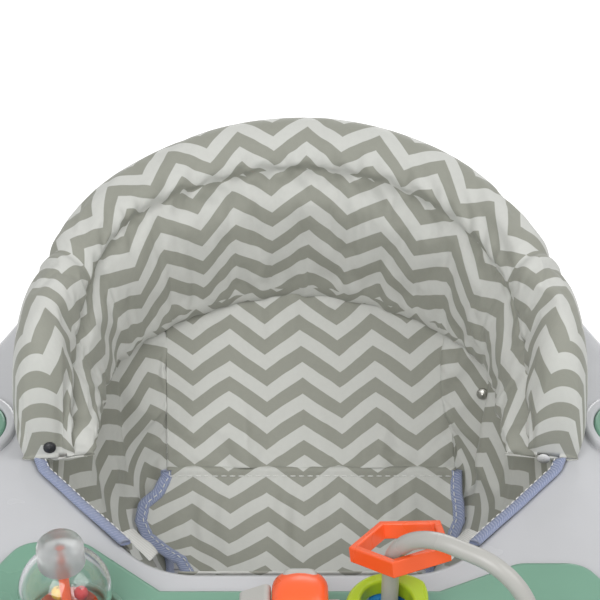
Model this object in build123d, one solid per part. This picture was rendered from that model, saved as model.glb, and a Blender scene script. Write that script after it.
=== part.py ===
from build123d import *
from math import cos, hypot, radians, sin, sqrt
import os

# A baby walker: castor base, scissor frame, tray with a hung cloth seat, and a toy tray.
# Millimetres, Z up, front (toy side) towards -Y, origin on the floor under the base centre.

# Running clearances
FIT_GAP = 0.05          # radial, a turning pin in its bore
SEAT_GAP = 0.3          # between a piece and the seat it rests on or slides along
SIDE_GAP = 0.5          # beside a turning part

# Base ring: a hollow moulding, open below
BASE_WIDTH = 620.0
BASE_LENGTH = 690.0
BASE_CORNER = 200.0
RING_WIDTH = 100.0
RIM_HEIGHT = 18.0       # lower rim above the floor
BASE_HEIGHT = 70.0
BASE_WALL = 3.0
BASE_EDGE = 18.0        # rounding of the outer top edge
BASE_INNER_EDGE = 6.0
BEAD_HEIGHT = 6.0       # thickened band round the lower rim
BEAD_DEPTH = 1.6

# Castors
WHEEL_RADIUS = 23.0
WHEEL_WIDTH = 16.0
WHEEL_EDGE = 3.0
WHEEL_DISH = 3.0        # depth of the dish in each side
CASTOR_TRAIL = 14.0     # wheel centre behind the stem
CHEEK = 3.0
CHEEK_END = 7.5         # radius of a fork cheek round the axle
CROWN_RADIUS = 16.0
CROWN_HEIGHT = 5.0
CROWN_GAP = 3.0         # above the tyre
STEM_RADIUS = 4.0
STEM_LENGTH = 26.0
SOCKET_RADIUS = 9.0
SOCKET_RIB = 2.5
SOCKET_RIB_SPAN = 52.0
SOCKET_RIB_HEIGHT = 16.0
AXLE_RADIUS = 2.5
AXLE_HEAD = 4.0
AXLE_HEAD_LENGTH = 1.5

# Step-grip pads under the rim
PAD_LENGTH = 56.0
PAD_THICKNESS = 8.0
PAD_EDGE = 3.0
PAD_SPACE = 7.0         # front and rear pads, short of the corner
SWEEP_SPACE = 3.0       # round the sweep of a side castor
PAD_PLATE = 3.0

# Scissor frame
TUBE_RADIUS = 8.0
TUBE_WALL = 1.5
INNER_LEG_X = 200.0
LEG_SPACING = 22.0      # inner leg to outer leg
PIVOT_Y = 105.0
LEG_RISE = 259.0        # lower pivot to upper pivot at the middle height
LEG_SPAN = 280.0        # pivot to slider at the middle height
FOLD_DROP = 173.0       # tray travel down to the folded state
HEIGHT_STEP = 19.0      # between the height settings
HEIGHT_STEPS_UP = 2
TUBE_END = 9.0          # tube past its pivot
PIN_RADIUS = 3.0
PIN_HEAD = 5.5
PIN_HEAD_LENGTH = 2.0
SPACER_RADIUS = 6.5
PIVOT_RISE = 13.0       # pivot to the foot of its bracket
BRACKET_FOOT = 3.0
BRACKET_EAR = 4.0
BRACKET_END = 10.0      # ear radius round the pin
BRACKET_LENGTH = 36.0
GUIDE_THICKNESS = 6.0
GUIDE_MARGIN = 9.0      # material round the guide slot
GUIDE_FOOT_WIDTH = 12.0
CROSSBAR_OVERHANG = 5.0  # lower crossbar past its guides
RACK_X = 204.0           # height racks under the tray
BASE_GUIDE_X = 238.0    # guides on the base
NOTCH_DEPTH = 2.5

# Tray
TRAY_BORDER = 107.0     # side of the tray beyond the seat opening
TRAY_FRONT = 325.0      # in front of the origin
TRAY_SIDE_Y = -20.0     # where the sides start to draw in towards the rear
TRAY_REAR = 250.0
TRAY_REAR_HALF = 178.0
TRAY_FRONT_CORNER = 100.0
TRAY_SIDE_CORNER = 150.0
TRAY_REAR_CORNER = 125.0
TRAY_DEPTH = 52.0
TRAY_WALL = 4.0
TRAY_EDGE = 14.0
OPENING_HALF = 178.0
OPENING_MID = 25.0      # Y of the widest place of the seat opening
OPENING_REAR = 195.0
OPENING_FRONT = 95.0    # in front of the origin
OPENING_SHOULDER = 20.0  # straight side in front of the widest place
OPENING_TAPER = 88.0    # how far each side draws in towards the front
OPENING_SIDE_ROUND = 50.0
OPENING_FRONT_ROUND = 60.0
OPENING_EDGE = 5.0
SKIRT_DEPTH = 40.0      # wall round the opening
RIB_COUNT = 5           # stiffening ribs under the rear of the deck
RIB_ANGLE = 52.0        # first rib, round the opening
RIB_DEPTH = 14.0
RIB_THICKNESS = 2.5

# Mint inserts at the sides of the tray
INSERT_SPACE = 15.0     # collar beyond the seat opening
INSERT_Y = 36.0
INSERT_HALF_WIDTH = 24.0
INSERT_HALF_LENGTH = 26.0
INSERT_HEIGHT = 4.0
INSERT_EDGE = 2.0
COLLAR_WIDTH = 7.0
COLLAR_HEIGHT = 5.0
COLLAR_EDGE = 2.2

# Release lever under the front of the tray
LEVER_WIDTH = 88.0
LEVER_REACH = 24.0
LEVER_THICKNESS = 4.0
LEVER_SLEEVE = 6.0
LEVER_PIN_Y = 300.0     # in front of the origin
LEVER_PIN_DROP = 38.0   # pin below the deck
LEVER_EAR = 4.0
LEVER_EAR_LENGTH = 16.0

# Toy tray
TOY_RECESS = 2.0
TOY_THICKNESS = 9.0
TOY_EDGE = 4.0
TOY_BAND = 20.0         # white band between the opening and the toy tray
TOY_FRONT = 296.0       # in front of the origin
TOY_HALF_WIDTH = 238.0
TOY_FRONT_HALF = 212.0
TOY_WIDEST_Y = 185.0    # in front of the origin
LOBE_INSET = 44.0       # inner side of a lobe, inside the widest place of the opening
LOBE_WIDTH = 40.0
LEFT_LOBE_Y = 74.0      # in front of the origin
RIGHT_LOBE_Y = 92.0
TOY_REAR_INSET = 6.0    # rear edge, short of the front of the opening
LOBE_ROUND = 20.0
TOY_CORNER_ROUND = 62.0

# Rattle ball
BALL_X = -135.0
BALL_Y = -146.0
BALL_RADIUS = 27.0
BALL_WALL = 2.0
BALL_LIFT = 5.0         # ball above the toy tray
WELL_RADIUS = 31.0
WELL_WALL = 4.0
WELL_HEIGHT = 4.0
CUP_RADIUS = 20.0
SPINDLE_RADIUS = 3.0
KNOB_RADIUS = 13.5
KNOB_HEIGHT = 13.0
KNOB_EDGE = 6.0
BEAD_RADIUS = 4.5
BEAD_COUNT = 6
BEAD_ANGLE = 42.0       # round the ball from its lowest point

# Roller
ROLLER_X = 0.0
ROLLER_Y = -160.0
ROLLER_RADIUS = 20.0
ROLLER_BULGE = 4.0
ROLLER_LENGTH = 32.0
ROLLER_EDGE = 9.0
ROLLER_GAP = 4.0        # roller above the toy tray
ROLLER_AXLE = 3.0
ROLLER_POST = 6.0
ROLLER_POST_END = 8.0
ROLLER_BARS = 5
BAR_RADIUS = 4.0
BAR_PROUD = 1.5
BAR_LENGTH = 20.0
SHOULDER_RISE = 18.5    # broad left post, above the roller's axle
SHOULDER_FALL = 8.5     # slope of its top
SHOULDER_WIDTH = 18.0
SHOULDER_DEPTH = 14.0

# Arch with rings
ARCH_LEFT = (52.0, -142.0)
ARCH_RIGHT = (127.0, -186.0)
ARCH_TUBE = 5.0
ARCH_RISE = 83.0        # middle of the tube above the toy tray
ARCH_BEND = 36.0
ARCH_FOOT = 10.0
ARCH_FOOT_HEIGHT = 3.0
RING_THICKNESS = 12.0
RING_WALL = 6.5
RING_EDGE = 2.0
HEX_SIDES = 5
HEX_RADIUS = 31.0
HEX_WALL = 5.5
HEX_THICKNESS = 10.0
HEX_TURN = 42.8         # degrees
HEX_TILT = (-21.1, -8.0)  # lean of the ring about X, then about Y, in degrees
HEX_SHIFT = (6.6, 13.6)  # middle of the upper face from the arch leg
HEX_LIFT = 56.0         # the same middle above the toy tray
LEAF_RADIUS = 27.0      # middle to tip
LEAF_FULLNESS = 0.8     # half width as a share of the half length
LEAF_TURN = 35.0
LEAF_SHIFT = (-2.0, -7.5)
TRIANGLE_RADIUS = 38.0  # to the corners before rounding
TRIANGLE_TURN = -20.0
TRIANGLE_SHIFT = (4.5, -4.0)
BAND_RADIUS = 12.0      # small ring on the other leg
BAND_THICKNESS = 8.0

# Seat cloth
CLOTH = 3.0
SEAT_INSET = 6.0        # cloth inside the opening wall
SEAT_TOP_DROP = 3.0     # cloth edge below the deck
BACK_ANGLE = 54.0       # where the back panel meets the side panels, round the opening
BACK_STATIONS = 5
SEAM_Y = 92.0
SEAM_DROP = 103.0       # back seam below the deck
SEAM_HALF = 112.0
SEAM_GAP = 0.4
BACK_SAG = 7.0
STRIP_SAG = 6.0
STRIP_DROP = 20.0       # lowest place of the crotch strip below the back seam
# Crotch strip stations: share of the way to the front, share of the rise to the rim, width share, slope
STRIP_STATIONS = ((0.28, 0.02, 0.92, -12.0), (0.53, 0.00, 0.76, 8.0), (0.75, 0.16, 0.60, 36.0),
                  (0.95, 0.55, 0.62, 66.0))
STRIP_FRONT_SHARE = 0.75  # width of the strip at the rim
STRIP_START_SLOPE = -24.0
STRIP_END_SLOPE = 88.0
SIDE_MIDDLE_ANGLE = 28.0  # second station of a side panel, round the opening
SIDE_SHARES = (0.0, 0.40, 0.74)  # further stations along the straight front side of the opening
# Lower edge of a side panel at its stations, from the end of the back seam, and the depth of its folds
LEG_HOLE_EDGE = ((16.0, -34.0, -8.0), (16.0, -70.0, 8.0), (4.0, -110.0, 38.0), (-14.0, -150.0, 68.0))
SIDE_FOLDS = (0.0, 6.0, -3.0, 5.0, 0.0)
TAB_ANGLES = (32.0, 62.0, 90.0, 118.0, 148.0)
TAB_WIDTH = 16.0
TAB_HEIGHT = 12.0

# Padded back
PAD_ROUND_OVER = 4.0    # sweep past the widest place, in degrees
PAD_NOSE = 5.0          # rounded end beyond that, in degrees
PAD_NOSE_SHARE = 0.7    # size of the section at the end of the nose
PAD_STATIONS = 9
PAD_INSIDE = 8.0        # overhang into the opening, behind
PAD_END_INSIDE = 38.0   # overhang into the opening, at the ends
PAD_FOOT = 27.0         # foot beyond the opening, behind
PAD_END_FOOT = 2.0
PAD_BELLY = 33.0        # outermost line of the roll beyond the opening, behind
PAD_END_BELLY = 12.0
PAD_REAR_HEIGHT = 141.0
PAD_END_HEIGHT = 94.0
BAND_REAR_HEIGHT = 112.0
BAND_END_HEIGHT = 24.0
PAD_CROWN = 4.0         # swell of the inner panel
PAD_HEIGHT_CURVE = 1.5  # how the height, the seam and the width grow from the ends to the rear
PAD_SEAM_CURVE = 0.7
PAD_WIDTH_CURVE = 1.2
CREST_SHARE = 0.55      # crest of the roll across its width
BELLY_SHARE = 0.3       # widest line of the roll up its height
FRONT_ROUND_SHARE = 0.74  # how full the roll is between seam and crest, and between crest and widest line
REAR_ROUND_SHARE = 0.80
BOARD_OFFSET = 12.0     # stiffener beyond the opening
BOARD_THICKNESS = 3.0
BOARD_HEIGHT = 82.0
BOARD_ANGLE = 38.0      # where the stiffener starts, round the opening

# Derived sizes
base_top = RIM_HEIGHT + BASE_HEIGHT
outer_leg_x = INNER_LEG_X + LEG_SPACING
lower_pivot_z = base_top + BRACKET_FOOT + PIVOT_RISE
upper_pivot_z = lower_pivot_z + LEG_RISE
slider_y = PIVOT_Y - LEG_SPAN
leg_length = hypot(LEG_RISE, LEG_SPAN)
folded_y = PIVOT_Y - sqrt(leg_length ** 2 - (LEG_RISE - FOLD_DROP) ** 2)
raised_y = PIVOT_Y - sqrt(leg_length ** 2 - (LEG_RISE + HEIGHT_STEPS_UP * HEIGHT_STEP) ** 2)
cross_y = PIVOT_Y - LEG_SPAN / 2
cross_z = lower_pivot_z + LEG_RISE / 2
deck_z = upper_pivot_z + PIVOT_RISE + BRACKET_FOOT + TRAY_WALL
deck_under = deck_z - TRAY_WALL
toy_top = deck_z - TOY_RECESS + TOY_THICKNESS
opening_depth = OPENING_REAR - OPENING_MID
opening_front_half = OPENING_HALF - OPENING_TAPER
tray_half = OPENING_HALF + TRAY_BORDER
insert_x = OPENING_HALF + INSERT_SPACE + COLLAR_WIDTH + INSERT_HALF_WIDTH
lobe_inner_x = OPENING_HALF - LOBE_INSET
lobe_outer_x = lobe_inner_x + LOBE_WIDTH
toy_rear_half = opening_front_half - TOY_REAR_INSET
ring_middle = RING_WIDTH / 2
corner_x = BASE_WIDTH / 2 - BASE_CORNER
corner_y = BASE_LENGTH / 2 - BASE_CORNER
corner_reach = (BASE_CORNER - ring_middle) / sqrt(2)
castor_places = [(sx * (corner_x + corner_reach), sy * (corner_y + corner_reach))
                 for sy in (-1, 1) for sx in (-1, 1)]
castor_places += [(sx * (BASE_WIDTH / 2 - ring_middle), 0.0) for sx in (-1, 1)]
crown_bottom = 2 * WHEEL_RADIUS + CROWN_GAP
crown_top = crown_bottom + CROWN_HEIGHT
socket_bottom = crown_top + SEAT_GAP

low = (Align.CENTER, Align.CENTER, Align.MIN)
high = (Align.CENTER, Align.CENTER, Align.MAX)


def rod(start, end, radius):
    """A round bar from one point to another."""
    along = Vector(*end) - Vector(*start)
    return Plane(origin=start, z_dir=along) * Cylinder(radius, along.length, align=low)


def tube(start, end, radius, wall):
    """A round tube from one point to another."""
    return rod(start, end, radius) - rod(start, end, radius - wall)


def both_sides(shape):
    """A piece and its mirror image across the middle of the walker."""
    return [shape, mirror(shape, about=Plane.YZ)]


def write(name, *shapes):
    """Save one piece, or one group of like pieces, as a STEP file."""
    solids = [solid for shape in shapes for solid in shape.solids()]
    body = solids[0] if len(solids) == 1 else Compound(children=solids)
    export_step(body, f"parts/{name}.step")


def ring_plan(inset, outset):
    """Plan of the base ring, drawn in from its outer edge and out from its inner edge."""
    outer = RectangleRounded(BASE_WIDTH - 2 * inset, BASE_LENGTH - 2 * inset, BASE_CORNER - inset)
    hole_inset = RING_WIDTH - outset
    hole = RectangleRounded(BASE_WIDTH - 2 * hole_inset, BASE_LENGTH - 2 * hole_inset,
                            BASE_CORNER - hole_inset)
    return outer - hole


def ring_block(inset, height):
    """Solid of the base ring, drawn in by a wall, with its top edges rounded."""
    block = Pos(0, 0, RIM_HEIGHT) * extrude(ring_plan(inset, inset), height)
    top = block.faces().sort_by(Axis.Z)[-1]
    block = fillet(top.inner_wires()[0].edges(), BASE_INNER_EDGE - inset)
    top = block.faces().sort_by(Axis.Z)[-1]
    return fillet(top.outer_wire().edges(), BASE_EDGE - inset)


def pad_places():
    """Centres of the step-grip pads, each with its half length along X and Y."""
    half_wide = ring_middle - BASE_WALL
    front = BASE_LENGTH / 2 - ring_middle
    side = BASE_WIDTH / 2 - ring_middle
    offset_x = corner_x - PAD_SPACE - PAD_LENGTH / 2
    offset_y = (CASTOR_TRAIL + WHEEL_RADIUS + SWEEP_SPACE + corner_y) / 2
    across = [(sx * offset_x, sy * front, PAD_LENGTH / 2, half_wide)
              for sx in (-1, 1) for sy in (-1, 1)]
    along = [(sx * side, sy * offset_y, half_wide, PAD_LENGTH / 2)
             for sx in (-1, 1) for sy in (-1, 1)]
    return across + along


def base_ring():
    """Hollow ring with castor sockets, pad plates and a beaded lower rim."""
    body = ring_block(0, BASE_HEIGHT)
    hollow = ring_block(BASE_WALL, BASE_HEIGHT - BASE_WALL)
    bead = ring_plan(BASE_WALL - BEAD_DEPTH, BASE_WALL - BEAD_DEPTH)
    bead_line = ring_plan(0, 0) - bead
    body -= Pos(0, 0, RIM_HEIGHT + BEAD_HEIGHT) * extrude(bead_line, BEAD_DEPTH)
    body -= hollow
    socket_height = base_top - BASE_WALL - socket_bottom
    for x, y in castor_places:
        boss = Pos(x, y, socket_bottom) * Cylinder(SOCKET_RADIUS, socket_height, align=low)
        ribs = Box(SOCKET_RIB_SPAN, SOCKET_RIB, SOCKET_RIB_HEIGHT, align=high)
        ribs += Box(SOCKET_RIB, SOCKET_RIB_SPAN, SOCKET_RIB_HEIGHT, align=high)
        body += boss + Pos(x, y, base_top - BASE_WALL) * ribs
    for x, y, half_x, half_y in pad_places():
        plate = Pos(x, y) * Rectangle(2 * half_x, 2 * half_y) & ring_plan(BASE_WALL / 2, BASE_WALL / 2)
        body += Pos(0, 0, RIM_HEIGHT) * extrude(plate, PAD_PLATE)
    for x, y in castor_places:
        bore = Cylinder(STEM_RADIUS + FIT_GAP, STEM_LENGTH + SIDE_GAP, align=low)
        body -= Pos(x, y, socket_bottom) * bore
    return body


def grip_pads():
    """Rubber pads that drop onto a step edge and stop the base."""
    pads = []
    for x, y, half_x, half_y in pad_places():
        plan = Pos(x, y) * Rectangle(2 * half_x, 2 * half_y) & ring_plan(BASE_WALL, BASE_WALL)
        block = Pos(0, 0, RIM_HEIGHT - PAD_THICKNESS) * extrude(plan, PAD_THICKNESS)
        pads.append(chamfer(block.edges().group_by(Axis.Z)[0], PAD_EDGE / 2))
    return pads


def castor_fork(x, y):
    """Fork of a castor: stem, crown and two cheeks that hold the axle."""
    wheel_y = y + CASTOR_TRAIL
    inner = WHEEL_WIDTH / 2 + SIDE_GAP
    outline = Pos(wheel_y, WHEEL_RADIUS) * Circle(CHEEK_END)
    outline += Pos(y, crown_bottom) * Rectangle(2 * CHEEK_END, CROWN_HEIGHT, align=(Align.CENTER, Align.MIN))
    cheek = extrude(Plane.YZ * make_hull(outline.edges()), CHEEK)
    fork = Pos(x, y, crown_bottom) * Cylinder(CROWN_RADIUS, CROWN_HEIGHT, align=low)
    fork = chamfer(fork.edges().group_by(Axis.Z)[-1], CROWN_HEIGHT / 3)
    fork += Pos(x + inner, 0, 0) * cheek + Pos(x - inner - CHEEK, 0, 0) * cheek
    stem = Cylinder(STEM_RADIUS, STEM_LENGTH, align=low)
    stem = chamfer(stem.edges().group_by(Axis.Z)[-1], STEM_RADIUS / 4)
    fork += Pos(x, y, crown_top) * stem
    reach = inner + CHEEK
    return fork - rod((x - reach, wheel_y, WHEEL_RADIUS), (x + reach, wheel_y, WHEEL_RADIUS), AXLE_RADIUS)


def castor_axle(x, y):
    """Riveted axle with a head outside each cheek."""
    reach = WHEEL_WIDTH / 2 + SIDE_GAP + CHEEK
    line = Pos(x, y + CASTOR_TRAIL, WHEEL_RADIUS) * Rot(0, 90, 0)
    axle = Cylinder(AXLE_RADIUS, 2 * reach)
    axle += Pos(0, 0, reach) * Cylinder(AXLE_HEAD, AXLE_HEAD_LENGTH, align=low)
    axle += Pos(0, 0, -reach) * Cylinder(AXLE_HEAD, AXLE_HEAD_LENGTH, align=high)
    return line * axle


def castor_wheel(x, y):
    """Wheel with rounded tread and dished sides."""
    half = WHEEL_WIDTH / 2
    wheel = Cylinder(WHEEL_RADIUS, WHEEL_WIDTH)
    wheel = fillet(wheel.edges(), WHEEL_EDGE)
    dish = Circle(WHEEL_RADIUS - 2 * WHEEL_EDGE) - Circle(2 * AXLE_HEAD)
    cut = extrude(dish, WHEEL_DISH)
    wheel -= Pos(0, 0, half - WHEEL_DISH) * cut + Pos(0, 0, -half) * cut
    wheel -= Cylinder(AXLE_RADIUS + FIT_GAP, WHEEL_WIDTH)
    return Pos(x, y + CASTOR_TRAIL, WHEEL_RADIUS) * Rot(0, 90, 0) * wheel


def leg(x, pivot_z, slider_z, bore):
    """Tube of the scissor frame from its pivot to its sliding crossbar, bored for its pins."""
    pivot = Vector(x, PIVOT_Y, pivot_z)
    slide = Vector(x, slider_y, slider_z)
    along = (slide - pivot).normalized()
    start = pivot - along * TUBE_END
    body = tube(tuple(start), tuple(slide), TUBE_RADIUS, TUBE_WALL)
    body -= crossbar_bar(slider_z, x + 2 * TUBE_RADIUS)
    reach = 2 * TUBE_RADIUS
    body -= rod((x - reach, PIVOT_Y, pivot_z), (x + reach, PIVOT_Y, pivot_z), PIN_RADIUS + FIT_GAP)
    body -= rod((x - reach, cross_y, cross_z), (x + reach, cross_y, cross_z), bore)
    return max(body.solids(), key=lambda solid: solid.volume)


def crossbar_bar(z, half_length):
    """Solid of a crossbar, also used to cope the leg tubes that are welded to it."""
    return rod((-half_length, slider_y, z), (half_length, slider_y, z), TUBE_RADIUS)


def crossbar(z, half_length):
    """Hollow bar that joins a pair of legs and slides in the guides."""
    bar = crossbar_bar(z, half_length)
    return bar - rod((-half_length, slider_y, z), (half_length, slider_y, z), TUBE_RADIUS - TUBE_WALL)


def scissor_rivet():
    """Rivet of the crossing with a spacer between the two legs."""
    inner_face = INNER_LEG_X - TUBE_RADIUS - SEAT_GAP
    outer_face = outer_leg_x + TUBE_RADIUS
    gap_start = INNER_LEG_X + TUBE_RADIUS + SEAT_GAP
    gap_end = outer_leg_x - TUBE_RADIUS

    def bar(start, end, radius):
        return rod((start, cross_y, cross_z), (end, cross_y, cross_z), radius)

    rivet = bar(inner_face - PIN_HEAD_LENGTH, outer_face + PIN_HEAD_LENGTH, PIN_RADIUS)
    rivet += bar(inner_face - PIN_HEAD_LENGTH, inner_face, PIN_HEAD)
    rivet += bar(gap_start, gap_end, SPACER_RADIUS)
    return rivet + bar(outer_face, outer_face + PIN_HEAD_LENGTH, PIN_HEAD)


def pivot_bracket(x, z, up):
    """Pair of ears round a leg's end; up is 1 where the foot lies below the pivot."""
    foot_z = z - up * PIVOT_RISE
    inner = TUBE_RADIUS + SIDE_GAP
    outline = Pos(PIVOT_Y, z) * Circle(BRACKET_END)
    outline += Pos(PIVOT_Y, foot_z) * Rectangle(BRACKET_LENGTH, BRACKET_FOOT / 2)
    ear = extrude(Plane.YZ * make_hull(outline.edges()), BRACKET_EAR)
    bracket = Pos(x + inner, 0, 0) * ear + Pos(x - inner - BRACKET_EAR, 0, 0) * ear
    foot = Box(2 * (inner + BRACKET_EAR), BRACKET_LENGTH, BRACKET_FOOT, align=low)
    bracket += Pos(x, PIVOT_Y, foot_z - (BRACKET_FOOT if up > 0 else 0)) * foot
    reach = inner + BRACKET_EAR
    return bracket - rod((x - reach, PIVOT_Y, z), (x + reach, PIVOT_Y, z), PIN_RADIUS)


def pivot_pin(x, z):
    """Headed pin through a pivot bracket."""
    reach = TUBE_RADIUS + SIDE_GAP + BRACKET_EAR
    pin = Cylinder(PIN_RADIUS, 2 * reach)
    pin += Pos(0, 0, reach) * Cylinder(PIN_HEAD, PIN_HEAD_LENGTH, align=low)
    pin += Pos(0, 0, -reach) * Cylinder(PIN_HEAD, PIN_HEAD_LENGTH, align=high)
    return Pos(x, PIVOT_Y, z) * Rot(0, 90, 0) * pin


def guide_plate(x, z, foot_z, notched):
    """Slotted plate in which a crossbar slides between the folded and the raised state."""
    slot_radius = TUBE_RADIUS + SEAT_GAP
    ends = (folded_y - SEAT_GAP, raised_y + SEAT_GAP)
    middle = sum(ends) / 2
    length = ends[1] - ends[0]
    near_z = z - (slot_radius + GUIDE_MARGIN) if foot_z > z else z + slot_radius + GUIDE_MARGIN
    height = abs(foot_z - near_z)
    plate = Pos(middle, (foot_z + near_z) / 2) * Rectangle(length + 2 * (slot_radius + GUIDE_MARGIN), height)
    far_side = -1 if foot_z > z else 1
    corners = [v for v in plate.vertices() if far_side * (v.Y - z) > 0]
    plate = fillet(corners, GUIDE_MARGIN)
    plate -= Pos(middle, z) * SlotCenterToCenter(length, 2 * slot_radius)
    if notched:
        for step in range(HEIGHT_STEPS_UP + 1):
            rise = LEG_RISE + step * HEIGHT_STEP
            notch_y = PIVOT_Y - sqrt(leg_length ** 2 - rise ** 2)
            plate -= Pos(notch_y, z + NOTCH_DEPTH) * Circle(TUBE_RADIUS)
    body = Pos(x - GUIDE_THICKNESS / 2, 0, 0) * extrude(Plane.YZ * plate, GUIDE_THICKNESS)
    foot = Box(GUIDE_FOOT_WIDTH, length + 2 * (slot_radius + GUIDE_MARGIN), BRACKET_FOOT,
               align=low if foot_z < z else high)
    return body + Pos(x, middle, foot_z) * foot


def tray_plan(inset):
    """Plan of the tray, drawn in by a wall."""
    corners = [(tray_half, -TRAY_FRONT), (tray_half, TRAY_SIDE_Y), (TRAY_REAR_HALF, TRAY_REAR)]
    corners += [(-x, y) for x, y in reversed(corners)]
    face = make_face(Polyline(*corners, close=True))
    face = fillet(face.vertices().group_by(Axis.Y)[-1], TRAY_REAR_CORNER)
    face = fillet(face.vertices().group_by(Axis.Y)[0], TRAY_FRONT_CORNER)
    sides = [v for v in face.vertices() if abs(v.Y - TRAY_SIDE_Y) < 0.01]
    face = fillet(sides, TRAY_SIDE_CORNER)
    return offset(face, -inset) if inset else face


def opening_plan(outset):
    """Plan of the seat opening, grown by a wall: half an ellipse behind, drawn in towards the front."""
    half = OPENING_HALF + outset
    front_half = opening_front_half + outset
    front = -OPENING_FRONT - outset
    shoulder = OPENING_MID - OPENING_SHOULDER
    corners = [(half, OPENING_MID), (half, shoulder), (front_half, front),
               (-front_half, front), (-half, shoulder), (-half, OPENING_MID)]
    face = make_face(Polyline(*corners, close=True))
    ordered = face.vertices().group_by(Axis.Y)
    face = fillet(ordered[0], OPENING_FRONT_ROUND + outset)
    sides = [v for v in face.vertices() if abs(v.Y - shoulder) < 0.01]
    face = fillet(sides, OPENING_SIDE_ROUND + outset)
    rear_half = Rectangle(2 * half, 2 * half, align=(Align.CENTER, Align.MIN))
    return face + Pos(0, OPENING_MID) * (Ellipse(half, opening_depth + outset) & rear_half)


def toy_plan(outset):
    """Plan of the toy tray: two lobes reach back beside the seat opening."""
    rear = -OPENING_FRONT - TOY_BAND
    corners = [(-toy_rear_half, rear), (-lobe_inner_x, -LEFT_LOBE_Y), (-lobe_outer_x, -LEFT_LOBE_Y),
               (-TOY_HALF_WIDTH, -TOY_WIDEST_Y), (-TOY_FRONT_HALF, -TOY_FRONT),
               (TOY_FRONT_HALF, -TOY_FRONT), (TOY_HALF_WIDTH, -TOY_WIDEST_Y),
               (lobe_outer_x, -RIGHT_LOBE_Y), (lobe_inner_x, -RIGHT_LOBE_Y), (toy_rear_half, rear)]
    face = make_face(Polyline(*corners, close=True))
    lobe_line = (-LEFT_LOBE_Y - RIGHT_LOBE_Y + rear) / 3
    lobes = [v for v in face.vertices() if v.Y > lobe_line]
    face = fillet(lobes, LOBE_ROUND)
    fronts = [v for v in face.vertices() if v.Y < -TOY_WIDEST_Y + 1]
    face = fillet(fronts, TOY_CORNER_ROUND)
    return offset(face, outset) if outset else face


def tray_shell():
    """White tray: hollow below, seat opening with its wall, recess for the toy tray, insert collars."""
    rim = deck_z - TRAY_DEPTH
    body = Pos(0, 0, rim) * extrude(tray_plan(0), TRAY_DEPTH)
    body = fillet(body.edges().group_by(Axis.Z)[-1], TRAY_EDGE)
    hollow = Pos(0, 0, rim) * extrude(tray_plan(TRAY_WALL), TRAY_DEPTH - TRAY_WALL)
    hollow = fillet(hollow.edges().group_by(Axis.Z)[-1], TRAY_EDGE - TRAY_WALL)
    body -= hollow
    skirt = extrude(opening_plan(TRAY_WALL), SKIRT_DEPTH)
    body += Pos(0, 0, deck_z - SKIRT_DEPTH) * skirt
    for index in range(RIB_COUNT):
        angle = RIB_ANGLE + (180 - 2 * RIB_ANGLE) * index / (RIB_COUNT - 1)
        inner = OPENING_HALF + TRAY_WALL / 2
        rib = Pos(inner, 0, 0) * Box(tray_half, RIB_THICKNESS, RIB_DEPTH,
                                     align=(Align.MIN, Align.CENTER, Align.MAX))
        placed = Pos(0, OPENING_MID, deck_under) * Rot(0, 0, angle) * rib
        body += placed & hollow
    body -= Pos(0, 0, deck_z - SKIRT_DEPTH) * extrude(opening_plan(0), SKIRT_DEPTH)
    mouth = [e for e in body.edges().group_by(Axis.Z)[-1] if abs(e.center().X) < OPENING_HALF + 1
             and -OPENING_FRONT - 1 < e.center().Y < OPENING_REAR + 1]
    body = fillet(mouth, OPENING_EDGE)
    body -= Pos(0, 0, deck_z - TOY_RECESS) * extrude(toy_plan(SEAT_GAP), TOY_RECESS)
    ring = Ellipse(INSERT_HALF_WIDTH + COLLAR_WIDTH, INSERT_HALF_LENGTH + COLLAR_WIDTH)
    ring -= Ellipse(INSERT_HALF_WIDTH + SEAT_GAP, INSERT_HALF_LENGTH + SEAT_GAP)
    collar = extrude(ring, COLLAR_HEIGHT)
    collar = fillet(collar.edges().group_by(Axis.Z)[-1], COLLAR_EDGE)
    for side in (-1, 1):
        body += Pos(side * insert_x, INSERT_Y, deck_z) * collar
    ear = Box(LEVER_EAR, LEVER_EAR_LENGTH, LEVER_PIN_DROP + LEVER_SLEEVE - TRAY_WALL, align=high)
    ear = fillet(ear.edges().filter_by(Axis.X).group_by(Axis.Z)[0], LEVER_EAR_LENGTH / 3)
    for side in (-1, 1):
        ear_x = side * (LEVER_WIDTH / 2 + SIDE_GAP + LEVER_EAR / 2)
        body += Pos(ear_x, -LEVER_PIN_Y, deck_under) * ear
    reach = LEVER_WIDTH / 2 + SIDE_GAP + LEVER_EAR
    return body - lever_rod(reach, PIN_RADIUS)


def lever_rod(reach, radius):
    """Bar on the release lever's axis."""
    z = deck_z - LEVER_PIN_DROP
    return rod((-reach, -LEVER_PIN_Y, z), (reach, -LEVER_PIN_Y, z), radius)


def release_lever():
    """Pull lever of the height lock: a sleeve with a paddle and a turned-down lip."""
    half = LEVER_WIDTH / 2
    z = deck_z - LEVER_PIN_DROP
    paddle = Pos(0, -LEVER_PIN_Y, z) * Box(LEVER_WIDTH, LEVER_REACH, LEVER_THICKNESS,
                                           align=(Align.CENTER, Align.MIN, Align.CENTER))
    lip = Pos(0, -LEVER_PIN_Y + LEVER_REACH, z + LEVER_THICKNESS / 2)
    paddle += lip * Box(LEVER_WIDTH, LEVER_THICKNESS, 2 * LEVER_SLEEVE,
                        align=(Align.CENTER, Align.MIN, Align.MAX))
    paddle = fillet(paddle.edges().filter_by(Axis.X).group_by(Axis.Z)[0], LEVER_THICKNESS / 3)
    body = paddle + lever_rod(half, LEVER_SLEEVE)
    return body - lever_rod(half, PIN_RADIUS + FIT_GAP)


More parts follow.
